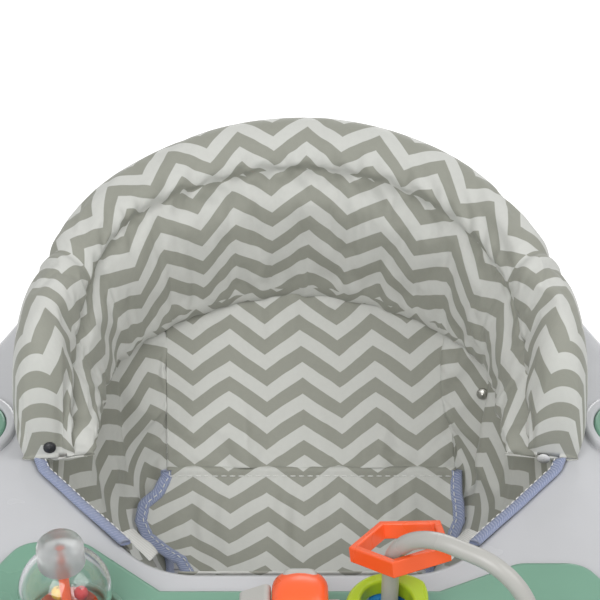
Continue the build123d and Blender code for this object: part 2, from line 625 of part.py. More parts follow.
def side_insert():
    """Mint oval set inside its collar."""
    plate = extrude(Ellipse(INSERT_HALF_WIDTH, INSERT_HALF_LENGTH), INSERT_HEIGHT)
    plate = fillet(plate.edges().group_by(Axis.Z)[-1], INSERT_EDGE)
    return Pos(insert_x, INSERT_Y, deck_z) * plate


def toy_tray():
    """Mint toy tray with the rim of the ball's well."""
    body = Pos(0, 0, deck_z - TOY_RECESS) * extrude(toy_plan(0), TOY_THICKNESS)
    body = fillet(body.edges().group_by(Axis.Z)[-1], TOY_EDGE)
    ring = extrude(Circle(WELL_RADIUS + WELL_WALL) - Circle(WELL_RADIUS), WELL_HEIGHT)
    ring = fillet(ring.edges().group_by(Axis.Z)[-1], WELL_WALL / 3)
    return body + Pos(BALL_X, BALL_Y, toy_top) * ring


ball_z = toy_top + BALL_LIFT + BALL_RADIUS
knob_z = ball_z + BALL_RADIUS


def rattle_shell():
    """Clear hollow ball, bored for its spindle."""
    shell = Sphere(BALL_RADIUS) - Sphere(BALL_RADIUS - BALL_WALL)
    shell -= Cylinder(SPINDLE_RADIUS + FIT_GAP, 3 * BALL_RADIUS)
    return Pos(BALL_X, BALL_Y, ball_z) * shell


def rattle_knob():
    """Frosted knob that turns the ball, hollowed to sit on it."""
    knob = Pos(0, 0, -KNOB_HEIGHT / 2) * Cylinder(KNOB_RADIUS, 1.5 * KNOB_HEIGHT, align=low)
    knob = fillet(knob.edges().group_by(Axis.Z)[-1], KNOB_EDGE)
    knob = Pos(BALL_X, BALL_Y, knob_z) * knob
    knob -= Pos(BALL_X, BALL_Y, ball_z) * Sphere(BALL_RADIUS)
    return knob - Pos(BALL_X, BALL_Y, knob_z - KNOB_HEIGHT) * Cylinder(
        SPINDLE_RADIUS + FIT_GAP, 1.5 * KNOB_HEIGHT, align=low)


def rattle_cup():
    """Orange cup and spindle that carry the ball."""
    cup = Pos(BALL_X, BALL_Y, toy_top) * Cylinder(CUP_RADIUS, BALL_RADIUS / 2, align=low)
    cup -= Pos(BALL_X, BALL_Y, ball_z) * Sphere(BALL_RADIUS + SEAT_GAP)
    spindle_length = knob_z + KNOB_HEIGHT / 3 - toy_top
    return cup + Pos(BALL_X, BALL_Y, toy_top) * Cylinder(SPINDLE_RADIUS, spindle_length, align=low)


def rattle_beads():
    """Loose beads in the bottom of the ball."""
    reach = BALL_RADIUS - BALL_WALL - BEAD_RADIUS - SEAT_GAP / 2
    out = reach * sin(radians(BEAD_ANGLE))
    drop = reach * cos(radians(BEAD_ANGLE))
    beads = PolarLocations(out, BEAD_COUNT)
    return [Pos(BALL_X, BALL_Y, ball_z - drop) * place * Sphere(BEAD_RADIUS) for place in beads]


roller_z = toy_top + ROLLER_GAP + ROLLER_RADIUS + ROLLER_BULGE
roller_axis = Pos(ROLLER_X, ROLLER_Y, roller_z) * Rot(0, 90, 0)


def roller_bar(extra):
    """One grey bar inlaid in the roller, as a capsule along the axis."""
    half = BAR_LENGTH / 2 - BAR_RADIUS
    radius = BAR_RADIUS + extra
    bar = Cylinder(radius, 2 * half)
    bar += Pos(0, 0, half) * Sphere(radius) + Pos(0, 0, -half) * Sphere(radius)
    return Pos(ROLLER_RADIUS + ROLLER_BULGE + BAR_PROUD - BAR_RADIUS, 0, 0) * bar


def roller_drum():
    """Orange barrel with slots for the bars."""
    half = ROLLER_LENGTH / 2
    belly = ThreePointArc((ROLLER_RADIUS, -half), (ROLLER_RADIUS + ROLLER_BULGE, 0), (ROLLER_RADIUS, half))
    edge = Polyline((ROLLER_RADIUS, half), (0, half), (0, -half), (ROLLER_RADIUS, -half))
    drum = revolve(Plane.XZ * make_face([belly, edge]), Axis.Z)
    drum = fillet(drum.edges().filter_by(GeomType.CIRCLE), ROLLER_EDGE)
    for turn in PolarLocations(0, ROLLER_BARS):
        drum -= turn * roller_bar(FIT_GAP)
    drum -= Cylinder(ROLLER_AXLE + FIT_GAP, ROLLER_LENGTH)
    return roller_axis * drum


def roller_bars():
    """Grey bars of the roller."""
    return [roller_axis * turn * roller_bar(0) for turn in PolarLocations(0, ROLLER_BARS)]


def roller_stand():
    """Posts and axle of the roller; the left post is broad, with a sloping top."""
    inner = ROLLER_LENGTH / 2 + SIDE_GAP
    outline = Pos(ROLLER_Y, roller_z) * Circle(ROLLER_POST_END)
    outline += Pos(ROLLER_Y, toy_top) * Rectangle(ROLLER_RADIUS, roller_z - toy_top,
                                                  align=(Align.CENTER, Align.MIN))
    post = extrude(Plane.YZ * make_hull(outline.edges()), ROLLER_POST)
    top = roller_z + SHOULDER_RISE
    side = make_face(Polyline((0, toy_top), (0, top), (-SHOULDER_WIDTH, top - SHOULDER_FALL),
                              (-SHOULDER_WIDTH, toy_top), close=True))
    side = fillet([v for v in side.vertices() if v.Y > roller_z], ROLLER_POST / 2)
    broad = extrude(Plane.XZ * side, SHOULDER_DEPTH / 2, both=True)
    stand = Pos(ROLLER_X + inner, 0, 0) * post + Pos(ROLLER_X - inner, ROLLER_Y, 0) * broad
    return stand + roller_axis * Cylinder(ROLLER_AXLE, 2 * inner)


ring_layer = RING_THICKNESS + SEAT_GAP
ring_floor = toy_top + ARCH_FOOT_HEIGHT + SEAT_GAP


def bead_arch():
    """Grey arch standing on two round feet."""
    left = Vector(*ARCH_LEFT, toy_top)
    right = Vector(*ARCH_RIGHT, toy_top)
    rise = Vector(0, 0, ARCH_RISE)
    path = FilletPolyline(left, left + rise, right + rise, right, radius=ARCH_BEND)
    arch = sweep(Plane(origin=left, z_dir=(0, 0, 1)) * Circle(ARCH_TUBE), path)
    for foot in (left, right):
        base = Cylinder(ARCH_FOOT, ARCH_FOOT_HEIGHT, align=low)
        arch += Pos(*foot) * chamfer(base.edges().group_by(Axis.Z)[-1], ARCH_FOOT_HEIGHT / 3)
    return arch


def flat_ring(outer, inner, shift, layer):
    """A flat ring lying round the left leg of the arch, in its own layer."""
    body = extrude(outer - inner, RING_THICKNESS)
    body = fillet(body.edges().group_by(Axis.Z)[-1] + body.edges().group_by(Axis.Z)[0], RING_EDGE)
    x, y = ARCH_LEFT
    return Pos(x + shift[0], y + shift[1], ring_floor + layer * ring_layer) * body


def hex_ring():
    """Orange five-sided ring, the top one, which leans on the arch."""
    plan = RegularPolygon(HEX_RADIUS, HEX_SIDES) - RegularPolygon(HEX_RADIUS - HEX_WALL, HEX_SIDES)
    body = extrude(plan, -HEX_THICKNESS)
    body = fillet(body.edges().group_by(Axis.Z)[-1] + body.edges().group_by(Axis.Z)[0], RING_EDGE / 2)
    x, y = ARCH_LEFT
    place = Pos(x + HEX_SHIFT[0], y + HEX_SHIFT[1], toy_top + HEX_LIFT)
    return place * Rot(0, HEX_TILT[1], 0) * Rot(HEX_TILT[0], 0, 0) * Rot(0, 0, HEX_TURN) * body


def leaf_ring():
    """Lime leaf: two arcs that meet in a point, round a round hole."""
    tip = Vector(LEAF_RADIUS, 0)
    belly = LEAF_RADIUS * LEAF_FULLNESS
    sides = ThreePointArc(tip, (0, belly), -tip) + ThreePointArc(-tip, (0, -belly), tip)
    outer = Rot(0, 0, LEAF_TURN) * make_face(sides)
    outer = fillet(outer.vertices(), RING_EDGE * 2)
    return flat_ring(outer, Circle(belly - RING_WALL), LEAF_SHIFT, 1)


def triangle_ring():
    """Blue ring with three rounded sides."""
    outer = Rot(0, 0, TRIANGLE_TURN) * RegularPolygon(TRIANGLE_RADIUS, 3)
    outer = fillet(outer.vertices(), RING_WALL)
    return flat_ring(outer, Circle(TRIANGLE_RADIUS / 2 - RING_WALL), TRIANGLE_SHIFT, 0)


def band_ring():
    """Small lime ring at the foot of the arch's right leg."""
    ring = Cylinder(BAND_RADIUS, BAND_THICKNESS, align=low)
    ring = fillet(ring.edges(), RING_EDGE)
    ring -= Cylinder(ARCH_TUBE + SEAT_GAP, BAND_THICKNESS, align=low)
    return Pos(*ARCH_RIGHT, ring_floor) * ring


def rim_point(angle, inset, z):
    """Point on the rear half of the opening, drawn in by an inset."""
    x = (OPENING_HALF - inset) * cos(radians(angle))
    y = OPENING_MID + (opening_depth - inset) * sin(radians(angle))
    return Vector(x, y, z)


cloth_top = deck_z - SEAT_TOP_DROP
seam_z = deck_z - SEAM_DROP


def cloth_section(top, bottom, inward, sag):
    """Thin section of a hanging panel, from its sewn edge to its lower edge, with a fold between."""
    middle = (top + bottom) / 2 + inward * sag
    near = [top, middle, bottom]
    far = [point + inward * CLOTH for point in reversed(near)]
    return make_face(Polyline(*near, *far, close=True))


def back_panel():
    """Lower back panel, sloping forward from the opening to the back seam."""
    sections = []
    for step in range(BACK_STATIONS):
        share = step / (BACK_STATIONS - 1)
        angle = BACK_ANGLE + (180 - 2 * BACK_ANGLE) * share
        top = rim_point(angle, SEAT_INSET, cloth_top)
        bottom = Vector(SEAM_HALF * (1 - 2 * share), SEAM_Y, seam_z)
        inward = (bottom - top).cross(Vector(1, 0, 0)).normalized()
        sections.append(cloth_section(top, bottom, inward, -BACK_SAG))
    return loft(sections)


def strip_section(y, z, half_width, slope):
    """Section of the crotch strip: a shallow cradle across its width."""
    frame = Plane(origin=(0, y, z), x_dir=(1, 0, 0), z_dir=(0, -cos(radians(slope)), sin(radians(slope))))
    lower = ThreePointArc((-half_width, 0), (0, -STRIP_SAG), (half_width, 0))
    upper = ThreePointArc((half_width, CLOTH), (0, CLOTH - STRIP_SAG), (-half_width, CLOTH))
    ends = Line((half_width, 0), (half_width, CLOTH)) + Line((-half_width, CLOTH), (-half_width, 0))
    return frame * make_face(lower + upper + ends)


def crotch_strip():
    """Seat strip from the back seam, under the child, up to the front of the opening."""
    rear = SEAM_Y - SEAM_GAP - CLOTH
    front = -OPENING_FRONT + SEAT_INSET + STRIP_SAG
    low_z = seam_z - STRIP_DROP
    top_z = cloth_top - CLOTH
    sections = [strip_section(rear, seam_z, SEAM_HALF, STRIP_START_SLOPE)]
    for along, rise, width, slope in STRIP_STATIONS:
        sections.append(strip_section(rear + along * (front - rear), low_z + rise * (top_z - low_z),
                                      width * SEAM_HALF, slope))
    sections.append(strip_section(front, top_z, STRIP_FRONT_SHARE * SEAM_HALF, STRIP_END_SLOPE))
    return loft(sections)


def side_point(share):
    """Point inside the straight front side of the opening."""
    start = Vector(OPENING_HALF, OPENING_MID - OPENING_SHOULDER)
    along = Vector(opening_front_half, -OPENING_FRONT) - start
    inward = Vector(along.Y, -along.X).normalized()
    place = start + along * share + inward * SEAT_INSET
    return Vector(place.X, place.Y, cloth_top)


def side_panel():
    """Side panel with soft folds; its lower edge is the upper edge of the leg hole."""
    gap = SEAM_GAP + CLOTH
    tops = [rim_point(BACK_ANGLE, SEAT_INSET, cloth_top) + Vector(gap, -gap, 0),
            rim_point(SIDE_MIDDLE_ANGLE, SEAT_INSET, cloth_top)]
    tops += [side_point(share) for share in SIDE_SHARES]
    corner = Vector(SEAM_HALF, SEAM_Y, seam_z)
    bottoms = [corner + Vector(gap, 0, 0)] + [corner + Vector(*step) for step in LEG_HOLE_EDGE]
    sections = []
    for top, bottom, fold in zip(tops, bottoms, SIDE_FOLDS):
        outward = Vector(top.X, top.Y - OPENING_MID, 0)
        along = (bottom - top).normalized()
        inward = -(outward - along * outward.dot(along)).normalized()
        sections.append(cloth_section(top, bottom, inward, fold))
    return loft(sections)


def seat_tabs():
    """Tabs that hang the cloth from the wall of the opening."""
    thickness = SEAT_INSET - 2 * SEAT_GAP
    tab = Box(TAB_WIDTH, thickness, TAB_HEIGHT, align=high)
    tab = fillet(tab.edges().filter_by(Axis.Y), TAB_HEIGHT / 4)
    tabs = []
    for angle in TAB_ANGLES:
        place = rim_point(angle, SEAT_INSET / 2, cloth_top)
        normal_x = cos(radians(angle)) / OPENING_HALF
        normal_y = sin(radians(angle)) / opening_depth
        turn = Vector(1, 0, 0).get_signed_angle(Vector(normal_x, normal_y, 0), Vector(0, 0, 1)) - 90
        tabs.append(Pos(*place) * Rot(0, 0, turn) * tab)
    tabs.append(Pos(0, -OPENING_FRONT + SEAT_INSET / 2, cloth_top) * tab)
    return tabs


def pad_section(angle, share):
    """Section of the padded back: inner panel, seam, roll and outer face, drawn in by a share."""
    rise = max(0.0, sin(radians(angle)))

    def blend(end, rear, curve):
        return end + (rear - end) * rise ** curve

    height = share * blend(PAD_END_HEIGHT, PAD_REAR_HEIGHT, PAD_HEIGHT_CURVE)
    seam = share * blend(BAND_END_HEIGHT, BAND_REAR_HEIGHT, PAD_SEAM_CURVE)
    inside = share * blend(PAD_END_INSIDE, PAD_INSIDE, PAD_WIDTH_CURVE)
    foot = share * blend(PAD_END_FOOT, PAD_FOOT, PAD_WIDTH_CURVE)
    belly_out = share * blend(PAD_END_BELLY, PAD_BELLY, PAD_WIDTH_CURVE)
    normal = Vector(cos(radians(angle)) / OPENING_HALF, sin(radians(angle)) / opening_depth, 0).normalized()
    frame = Plane(origin=rim_point(angle, 0, deck_z + SEAT_GAP), x_dir=normal,
                  z_dir=normal.cross(Vector(0, 0, 1)))
    roll = height - seam
    crest_x = -inside + (inside + belly_out) * CREST_SHARE
    inside_foot = (-inside, 0)
    inside_seam = (-inside + PAD_CROWN, seam)
    crest = (crest_x, height)
    belly = (belly_out, seam + roll * BELLY_SHARE)
    outside_foot = (foot, 0)
    front_middle = ((2 * inside_seam[0] + crest_x) / 3, seam + roll * FRONT_ROUND_SHARE)
    rear_middle = ((2 * belly_out + crest_x) / 3, seam + roll * REAR_ROUND_SHARE)
    lines = Line(outside_foot, inside_foot)
    lines += ThreePointArc(inside_foot, (-inside - PAD_CROWN, seam / 2), inside_seam)
    lines += ThreePointArc(inside_seam, front_middle, crest)
    lines += ThreePointArc(crest, rear_middle, belly)
    lines += ThreePointArc(belly, ((foot + belly_out) / 2 + PAD_CROWN / 2, belly[1] / 2), outside_foot)
    return frame * make_face(lines)


def board_plan(grow):
    """Plan of the stiffener, grown for its pocket."""
    start = BOARD_OFFSET - grow
    end = BOARD_OFFSET + BOARD_THICKNESS + grow
    strip = Ellipse(OPENING_HALF + end, opening_depth + end) - Ellipse(OPENING_HALF + start, opening_depth + start)
    reach = 2 * OPENING_HALF
    angle = radians(BOARD_ANGLE) - 2 * grow / OPENING_HALF
    wedge = make_face(Polyline((0, 0), (reach * cos(angle), reach * sin(angle)), (reach, reach * 1.5),
                               (-reach, reach * 1.5), (-reach * cos(angle), reach * sin(angle)), close=True))
    return Pos(0, OPENING_MID) * (strip & wedge)


def back_board():
    """Stiffener that holds the padded back upright."""
    return Pos(0, 0, deck_z + SEAT_GAP) * extrude(board_plan(0), BOARD_HEIGHT)


def back_pad():
    """Padded back with a pocket for its stiffener."""
    sweep_angle = 180 + 2 * PAD_ROUND_OVER
    stations = [-PAD_ROUND_OVER + sweep_angle * step / (PAD_STATIONS - 1) for step in range(PAD_STATIONS)]
    nose = -PAD_ROUND_OVER - PAD_NOSE
    sections = [pad_section(nose, PAD_NOSE_SHARE)]
    sections += [pad_section(angle, 1.0) for angle in stations]
    sections.append(pad_section(180 - nose, PAD_NOSE_SHARE))
    pad = loft(sections)
    pocket = extrude(board_plan(SEAT_GAP), BOARD_HEIGHT + 2 * SEAT_GAP)
    return pad - Pos(0, 0, deck_z) * pocket


os.makedirs("parts", exist_ok=True)

write("base_ring", base_ring())
write("grip_pads", *grip_pads())
write("lower_brackets", *both_sides(pivot_bracket(outer_leg_x, lower_pivot_z, 1)))
write("lower_pins", *both_sides(pivot_pin(outer_leg_x, lower_pivot_z)))
write("base_guides", *both_sides(guide_plate(BASE_GUIDE_X, lower_pivot_z, base_top, False)))
for number, (castor_x, castor_y) in enumerate(castor_places, 1):
    write(f"castor_fork_{number}", castor_fork(castor_x, castor_y))
    write(f"castor_axle_{number}", castor_axle(castor_x, castor_y))
    write(f"castor_wheel_{number}", castor_wheel(castor_x, castor_y))

inner_leg = leg(INNER_LEG_X, upper_pivot_z, lower_pivot_z, PIN_RADIUS + FIT_GAP)
outer_leg = leg(outer_leg_x, lower_pivot_z, upper_pivot_z, PIN_RADIUS)
for side, inner_piece, outer_piece in zip(("right", "left"), both_sides(inner_leg), both_sides(outer_leg)):
    write(f"inner_leg_{side}", inner_piece)
    write(f"outer_leg_{side}", outer_piece)
write("inner_crossbar", crossbar(lower_pivot_z, BASE_GUIDE_X + GUIDE_THICKNESS / 2 + CROSSBAR_OVERHANG))
write("outer_crossbar", crossbar(upper_pivot_z, outer_leg_x + TUBE_RADIUS))
write("scissor_rivets", *both_sides(scissor_rivet()))

write("tray_shell", tray_shell())
write("upper_brackets", *both_sides(pivot_bracket(INNER_LEG_X, upper_pivot_z, -1)))
write("upper_pins", *both_sides(pivot_pin(INNER_LEG_X, upper_pivot_z)))
write("height_racks", *both_sides(guide_plate(RACK_X, upper_pivot_z, deck_under, True)))
write("release_lever", release_lever())
write("lever_pin", lever_rod(LEVER_WIDTH / 2 + SIDE_GAP + LEVER_EAR, PIN_RADIUS))
write("side_inserts", *both_sides(side_insert()))

write("toy_tray", toy_tray())
write("rattle_cup", rattle_cup())
write("rattle_shell", rattle_shell())
write("rattle_knob", rattle_knob())
write("rattle_beads", *rattle_beads())
write("roller_stand", roller_stand())
write("roller_drum", roller_drum())
write("roller_bars", *roller_bars())
write("bead_arch", bead_arch())
write("hex_ring", hex_ring())
write("leaf_ring", leaf_ring())
write("triangle_ring", triangle_ring())
write("band_ring", band_ring())

write("back_board", back_board())
write("back_pad", back_pad())
write("back_panel", back_panel())
write("crotch_strip", crotch_strip())
for side, panel in zip(("right", "left"), both_sides(side_panel())):
    write(f"side_panel_{side}", panel)
write("seat_tabs", *seat_tabs())
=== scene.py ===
"""Baby walker: cloth seat, padded back, moulded finishes and studio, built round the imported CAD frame."""

import math

import bpy
import numpy as np
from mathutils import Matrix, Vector


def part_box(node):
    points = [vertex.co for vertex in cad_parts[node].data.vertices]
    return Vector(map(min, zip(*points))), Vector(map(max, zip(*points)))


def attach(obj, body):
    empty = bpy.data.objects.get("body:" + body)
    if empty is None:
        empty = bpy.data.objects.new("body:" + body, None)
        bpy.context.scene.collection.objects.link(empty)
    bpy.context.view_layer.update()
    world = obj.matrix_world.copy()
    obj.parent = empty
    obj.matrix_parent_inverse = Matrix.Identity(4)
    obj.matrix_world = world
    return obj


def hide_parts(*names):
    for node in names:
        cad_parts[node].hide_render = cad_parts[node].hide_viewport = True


bl_info = {
    "name": "Baby walker",
    "version": (1, 0, 0),
    "blender": (4, 5, 0),
    "location": "View3D > Sidebar > Walker",
    "description": "Dresses the CAD frame of a baby walker with cloth, padding, trim and finishes",
    "category": "Object",
}

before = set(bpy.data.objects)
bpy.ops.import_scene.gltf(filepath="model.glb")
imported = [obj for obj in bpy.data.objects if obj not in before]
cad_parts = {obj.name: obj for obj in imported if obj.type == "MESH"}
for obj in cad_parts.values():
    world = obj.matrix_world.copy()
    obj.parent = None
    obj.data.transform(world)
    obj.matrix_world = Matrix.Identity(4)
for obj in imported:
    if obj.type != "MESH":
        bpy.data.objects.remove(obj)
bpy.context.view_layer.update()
MM = 0.001
EYE = (0.0, -0.779, 1.110)              # where the camera stands, in metres
AIM = (0.0, 0.02, 0.42)                 # what the lamps look at
CLOTH_THICK = 0.0012
TAPE_THICK = 0.0034
SEAM_STITCH = (0.0042, 0.0022, 0.00045)  # length, gap and radius of a stitch
EDGE_STITCH = (0.0034, 0.0018, 0.0004)


def linear(code):
    """Linear colour of an sRGB hex code."""
    parts = [int(code[i:i + 2], 16) / 255 for i in (1, 3, 5)]
    return [c / 12.92 if c <= 0.04045 else ((c + 0.055) / 1.055) ** 2.4 for c in parts]


def colour(name, description, code):
    """A colour property from an sRGB hex code."""
    return bpy.props.FloatVectorProperty(name=name, description=description, subtype="COLOR",
                                         size=3, min=0, max=1, default=linear(code))


def length(name, description, millimetres):
    """A length property from a size in millimetres."""
    return bpy.props.FloatProperty(name=name, description=description, unit="LENGTH",
                                   default=millimetres * MM)


class WalkerCloth(bpy.types.PropertyGroup):
    """Print and trim of the seat."""
    period: length("Zigzag width", "One zigzag of the print, from peak to peak", 55.0)
    repeat: length("Stripe repeat", "One white stripe and one grey stripe", 23.4)
    height: length("Zigzag height", "Rise of the print from valley to peak", 19.5)
    white: colour("White stripe", "Ground of the print", "#CDCEC9")
    grey: colour("Grey stripe", "Printed stripe", "#98998F")
    binding: colour("Binding", "Warp colour of the twill tape", "#8A94B4")
    binding_light: colour("Binding weft", "Weft colour of the twill tape", "#B0B7CD")
    tape: length("Tape width", "Folded width of the binding tape", 9.0)


class WalkerPlastics(bpy.types.PropertyGroup):
    """Colours of the mouldings."""
    white: colour("White", "Tray and base", "#C6C7CA")
    mint: colour("Mint", "Toy tray and inserts", "#76A28C")
    orange: colour("Orange", "Five-sided ring, roller and cup", "#FF642E")
    lime: colour("Lime", "Leaf and small ring", "#AECB2C")
    blue: colour("Blue", "Three-sided ring", "#2F80C6")
    grey: colour("Grey", "Arch, roller stand and bars", "#B4B3AE")
    dark: colour("Dark grey", "Castor wheels", "#55585C")


class WalkerSeat(bpy.types.PropertyGroup):
    """Sizes of the seat, taken from the tray's opening."""
    half: length("Opening half width", "Half of the opening at its widest place", 178.0)
    middle: length("Opening middle", "Y of the widest place", 25.0)
    depth: length("Opening depth", "Widest place to the rear of the opening", 170.0)
    deck: length("Deck height", "Top of the tray", 383.0)
    pad_height: length("Back height", "Crest of the padded back above the deck", 138.0)
    pad_end: length("End height", "Crest of the padded back at its ends", 90.0)


class WalkerStage(bpy.types.PropertyGroup):
    """Camera and light."""
    lens: bpy.props.FloatProperty(name="Lens", description="Focal length in millimetres", default=96.0)
    tilt: bpy.props.FloatProperty(name="Tilt", description="Camera's look down", subtype="ANGLE",
                                  default=math.radians(37.1))
    key: bpy.props.FloatProperty(name="Key", description="Power of the key lamp in watts", default=21.5)
    fill: bpy.props.FloatProperty(name="Fill", description="Brightness of the room", default=0.45)


# Node and material helpers

def add(tree, kind, inputs=(), **settings):
    """Adds a node, sets it up and links or fills its inputs."""
    made = tree.nodes.new(kind)
    for key, value in settings.items():
        setattr(made, key, value)
    for socket, value in dict(inputs).items():
        if isinstance(value, bpy.types.NodeSocket):
            tree.links.new(value, made.inputs[socket])
        else:
            made.inputs[socket].default_value = value
    return made


def start_material(name, **values):
    """A new material with one Principled shader whose plain values are set on its sockets."""
    made = bpy.data.materials.new(name)
    made.use_nodes = True
    tree = made.node_tree
    tree.nodes.clear()
    shader = add(tree, "ShaderNodeBsdfPrincipled", values)
    add(tree, "ShaderNodeOutputMaterial", {"Surface": shader.outputs[0]})
    return made, tree, shader


def rgba(values):
    """A colour with full opacity."""
    return (*values, 1.0)


def moulded(name, tint, roughness, flow_mm=60.0, skin_mm=1.4, skin=0.02, **values):
    """Injection-moulded plastic: a broad, faint change of gloss from the flow and a very fine skin on top."""
    made, tree, shader = start_material(name, **{"IOR": 1.5, **values})
    place = add(tree, "ShaderNodeTexCoord").outputs["Object"]
    flow = add(tree, "ShaderNodeTexNoise", {"Vector": place, "Scale": 1 / (flow_mm * MM), "Detail": 3.0})
    shade = add(tree, "ShaderNodeMapRange", {"Value": flow.outputs["Fac"], "From Min": 0.3, "From Max": 0.7,
                                             "To Min": 0.965, "To Max": 1.025})
    base = add(tree, "ShaderNodeMix", {"Factor": 1.0, "A": rgba(tint), "B": shade.outputs[0]},
               data_type="RGBA", blend_type="MULTIPLY")
    gloss = add(tree, "ShaderNodeMapRange", {"Value": flow.outputs["Fac"], "From Min": 0.3, "From Max": 0.7,
                                             "To Min": roughness - 0.05, "To Max": roughness + 0.06})
    peel = add(tree, "ShaderNodeTexNoise", {"Vector": place, "Scale": 1 / (skin_mm * MM), "Detail": 2.0})
    bump = add(tree, "ShaderNodeBump", {"Height": peel.outputs["Fac"], "Strength": 0.35,
                                        "Distance": skin * MM})
    tree.links.new(base.outputs["Result"], shader.inputs["Base Color"])
    tree.links.new(gloss.outputs[0], shader.inputs["Roughness"])
    tree.links.new(bump.outputs[0], shader.inputs["Normal"])
    return made


def stripes(tree, across, along, cloth):
    """Share of grey in the zigzag print at a place on the cloth, 0 or 1 with a soft printed edge."""
    rise = add(tree, "ShaderNodeMath", {0: across, 1: cloth.period / 2}, operation="PINGPONG")
    scaled = add(tree, "ShaderNodeMath", {0: rise.outputs[0], 1: 2 * cloth.height / cloth.period},
                 operation="MULTIPLY")
    level = add(tree, "ShaderNodeMath", {0: along, 1: scaled.outputs[0]}, operation="ADD")
    turn = add(tree, "ShaderNodeMath", {0: level.outputs[0], 1: cloth.repeat}, operation="DIVIDE")
    share = add(tree, "ShaderNodeMath", {0: turn.outputs[0]}, operation="FRACT")
    middle = add(tree, "ShaderNodeMath", {0: share.outputs[0], 1: 0.5}, operation="PINGPONG")
    return add(tree, "ShaderNodeMapRange", {"Value": middle.outputs[0], "From Min": 0.243, "From Max": 0.257},
               interpolation_type="SMOOTHSTEP").outputs[0]


def chevron_cloth(cloth):
    """Printed polyester taffeta: matt zigzag print, a low sheen, and a weave drawn at 1.1 mm because the
    real thread of 0.2 mm is too fine to show."""
    made, tree, shader = start_material("printed_polyester_taffeta", **{
        "Roughness": 0.62, "IOR": 1.45, "Sheen Weight": 0.18, "Sheen Roughness": 0.45,
        "Specular IOR Level": 0.32})
    place = add(tree, "ShaderNodeUVMap", uv_map="cloth").outputs[0]
    wobble = add(tree, "ShaderNodeTexNoise", {"Vector": place, "Scale": 1 / (18 * MM), "Detail": 2.0})
    offset = add(tree, "ShaderNodeVectorMath", {0: wobble.outputs["Color"], 1: (0.0012, 0.0012, 0)},
                 operation="MULTIPLY")
    pull = add(tree, "ShaderNodeTexNoise", {"Vector": place, "Scale": 1 / (60 * MM), "Detail": 1.0})
    drift = add(tree, "ShaderNodeVectorMath", {0: pull.outputs["Color"], 1: (0.007, 0.007, 0),
                                               2: offset.outputs[0]}, operation="MULTIPLY_ADD")
    moved = add(tree, "ShaderNodeVectorMath", {0: place, 1: drift.outputs[0]}, operation="ADD")
    parts = add(tree, "ShaderNodeSeparateXYZ", {0: moved.outputs[0]})
    mask = stripes(tree, parts.outputs[0], parts.outputs[1], cloth)
    print_mix = add(tree, "ShaderNodeMix", {"Factor": mask, "A": rgba(cloth.white), "B": rgba(cloth.grey)},
                    data_type="RGBA")
    mottle = add(tree, "ShaderNodeTexNoise", {"Vector": place, "Scale": 1 / (3.5 * MM), "Detail": 4.0})
    tone = add(tree, "ShaderNodeMapRange", {"Value": mottle.outputs["Fac"], "To Min": 0.955, "To Max": 1.03})
    base = add(tree, "ShaderNodeMix", {"Factor": 1.0, "A": print_mix.outputs["Result"], "B": tone.outputs[0]},
               data_type="RGBA", blend_type="MULTIPLY")
    thread = 1 / (1.1 * MM) / 3.2
    warp = add(tree, "ShaderNodeTexWave", {"Vector": place, "Scale": thread}, bands_direction="X")
    weft = add(tree, "ShaderNodeTexWave", {"Vector": place, "Scale": thread}, bands_direction="Y")
    weave = add(tree, "ShaderNodeMath", {0: warp.outputs["Fac"], 1: weft.outputs["Fac"]},
                operation="MULTIPLY")
    crease = add(tree, "ShaderNodeTexNoise", {"Vector": place, "Scale": 1 / (26 * MM), "Detail": 3.0,
                                              "Distortion": 0.8})
    fine = add(tree, "ShaderNodeBump", {"Height": weave.outputs[0], "Strength": 0.25, "Distance": 0.06 * MM})
    soft = add(tree, "ShaderNodeBump", {"Height": crease.outputs["Fac"], "Strength": 0.30,
                                        "Distance": 2.2 * MM, "Normal": fine.outputs[0]})
    tree.links.new(base.outputs["Result"], shader.inputs["Base Color"])
    tree.links.new(soft.outputs[0], shader.inputs["Normal"])
    return made


def twill_tape(cloth):
    """Cotton chambray bias tape: diagonal ribs where white weft crosses a blue warp, drawn at 1.4 mm because
    the real ribs of 0.5 mm are too fine to show."""
    made, tree, shader = start_material("cotton_chambray_twill", **{
        "Roughness": 0.85, "Sheen Weight": 0.25, "Specular IOR Level": 0.2})
    place = add(tree, "ShaderNodeUVMap", uv_map="cloth").outputs[0]
    slant = add(tree, "ShaderNodeMapping", {"Vector": place, "Rotation": (0, 0, math.radians(52))})
    rib = add(tree, "ShaderNodeTexWave", {"Vector": slant.outputs[0], "Scale": 1 / (1.4 * MM) / 3.2,
                                          "Distortion": 1.2, "Detail": 2.0, "Detail Scale": 2.0})
    slub = add(tree, "ShaderNodeTexNoise", {"Vector": place, "Scale": 1 / (1.6 * MM), "Detail": 3.0})
    both = add(tree, "ShaderNodeMath", {0: rib.outputs["Fac"], 1: slub.outputs["Fac"]}, operation="MULTIPLY")
    mask = add(tree, "ShaderNodeMapRange", {"Value": both.outputs[0], "From Min": 0.12, "From Max": 0.62})
    base = add(tree, "ShaderNodeMix", {"Factor": mask.outputs[0], "A": rgba(cloth.binding),
                                       "B": rgba(cloth.binding_light)}, data_type="RGBA")
    bump = add(tree, "ShaderNodeBump", {"Height": rib.outputs["Fac"], "Strength": 0.6, "Distance": 0.35 * MM})
    tree.links.new(base.outputs["Result"], shader.inputs["Base Color"])
    tree.links.new(bump.outputs[0], shader.inputs["Normal"])
    return made


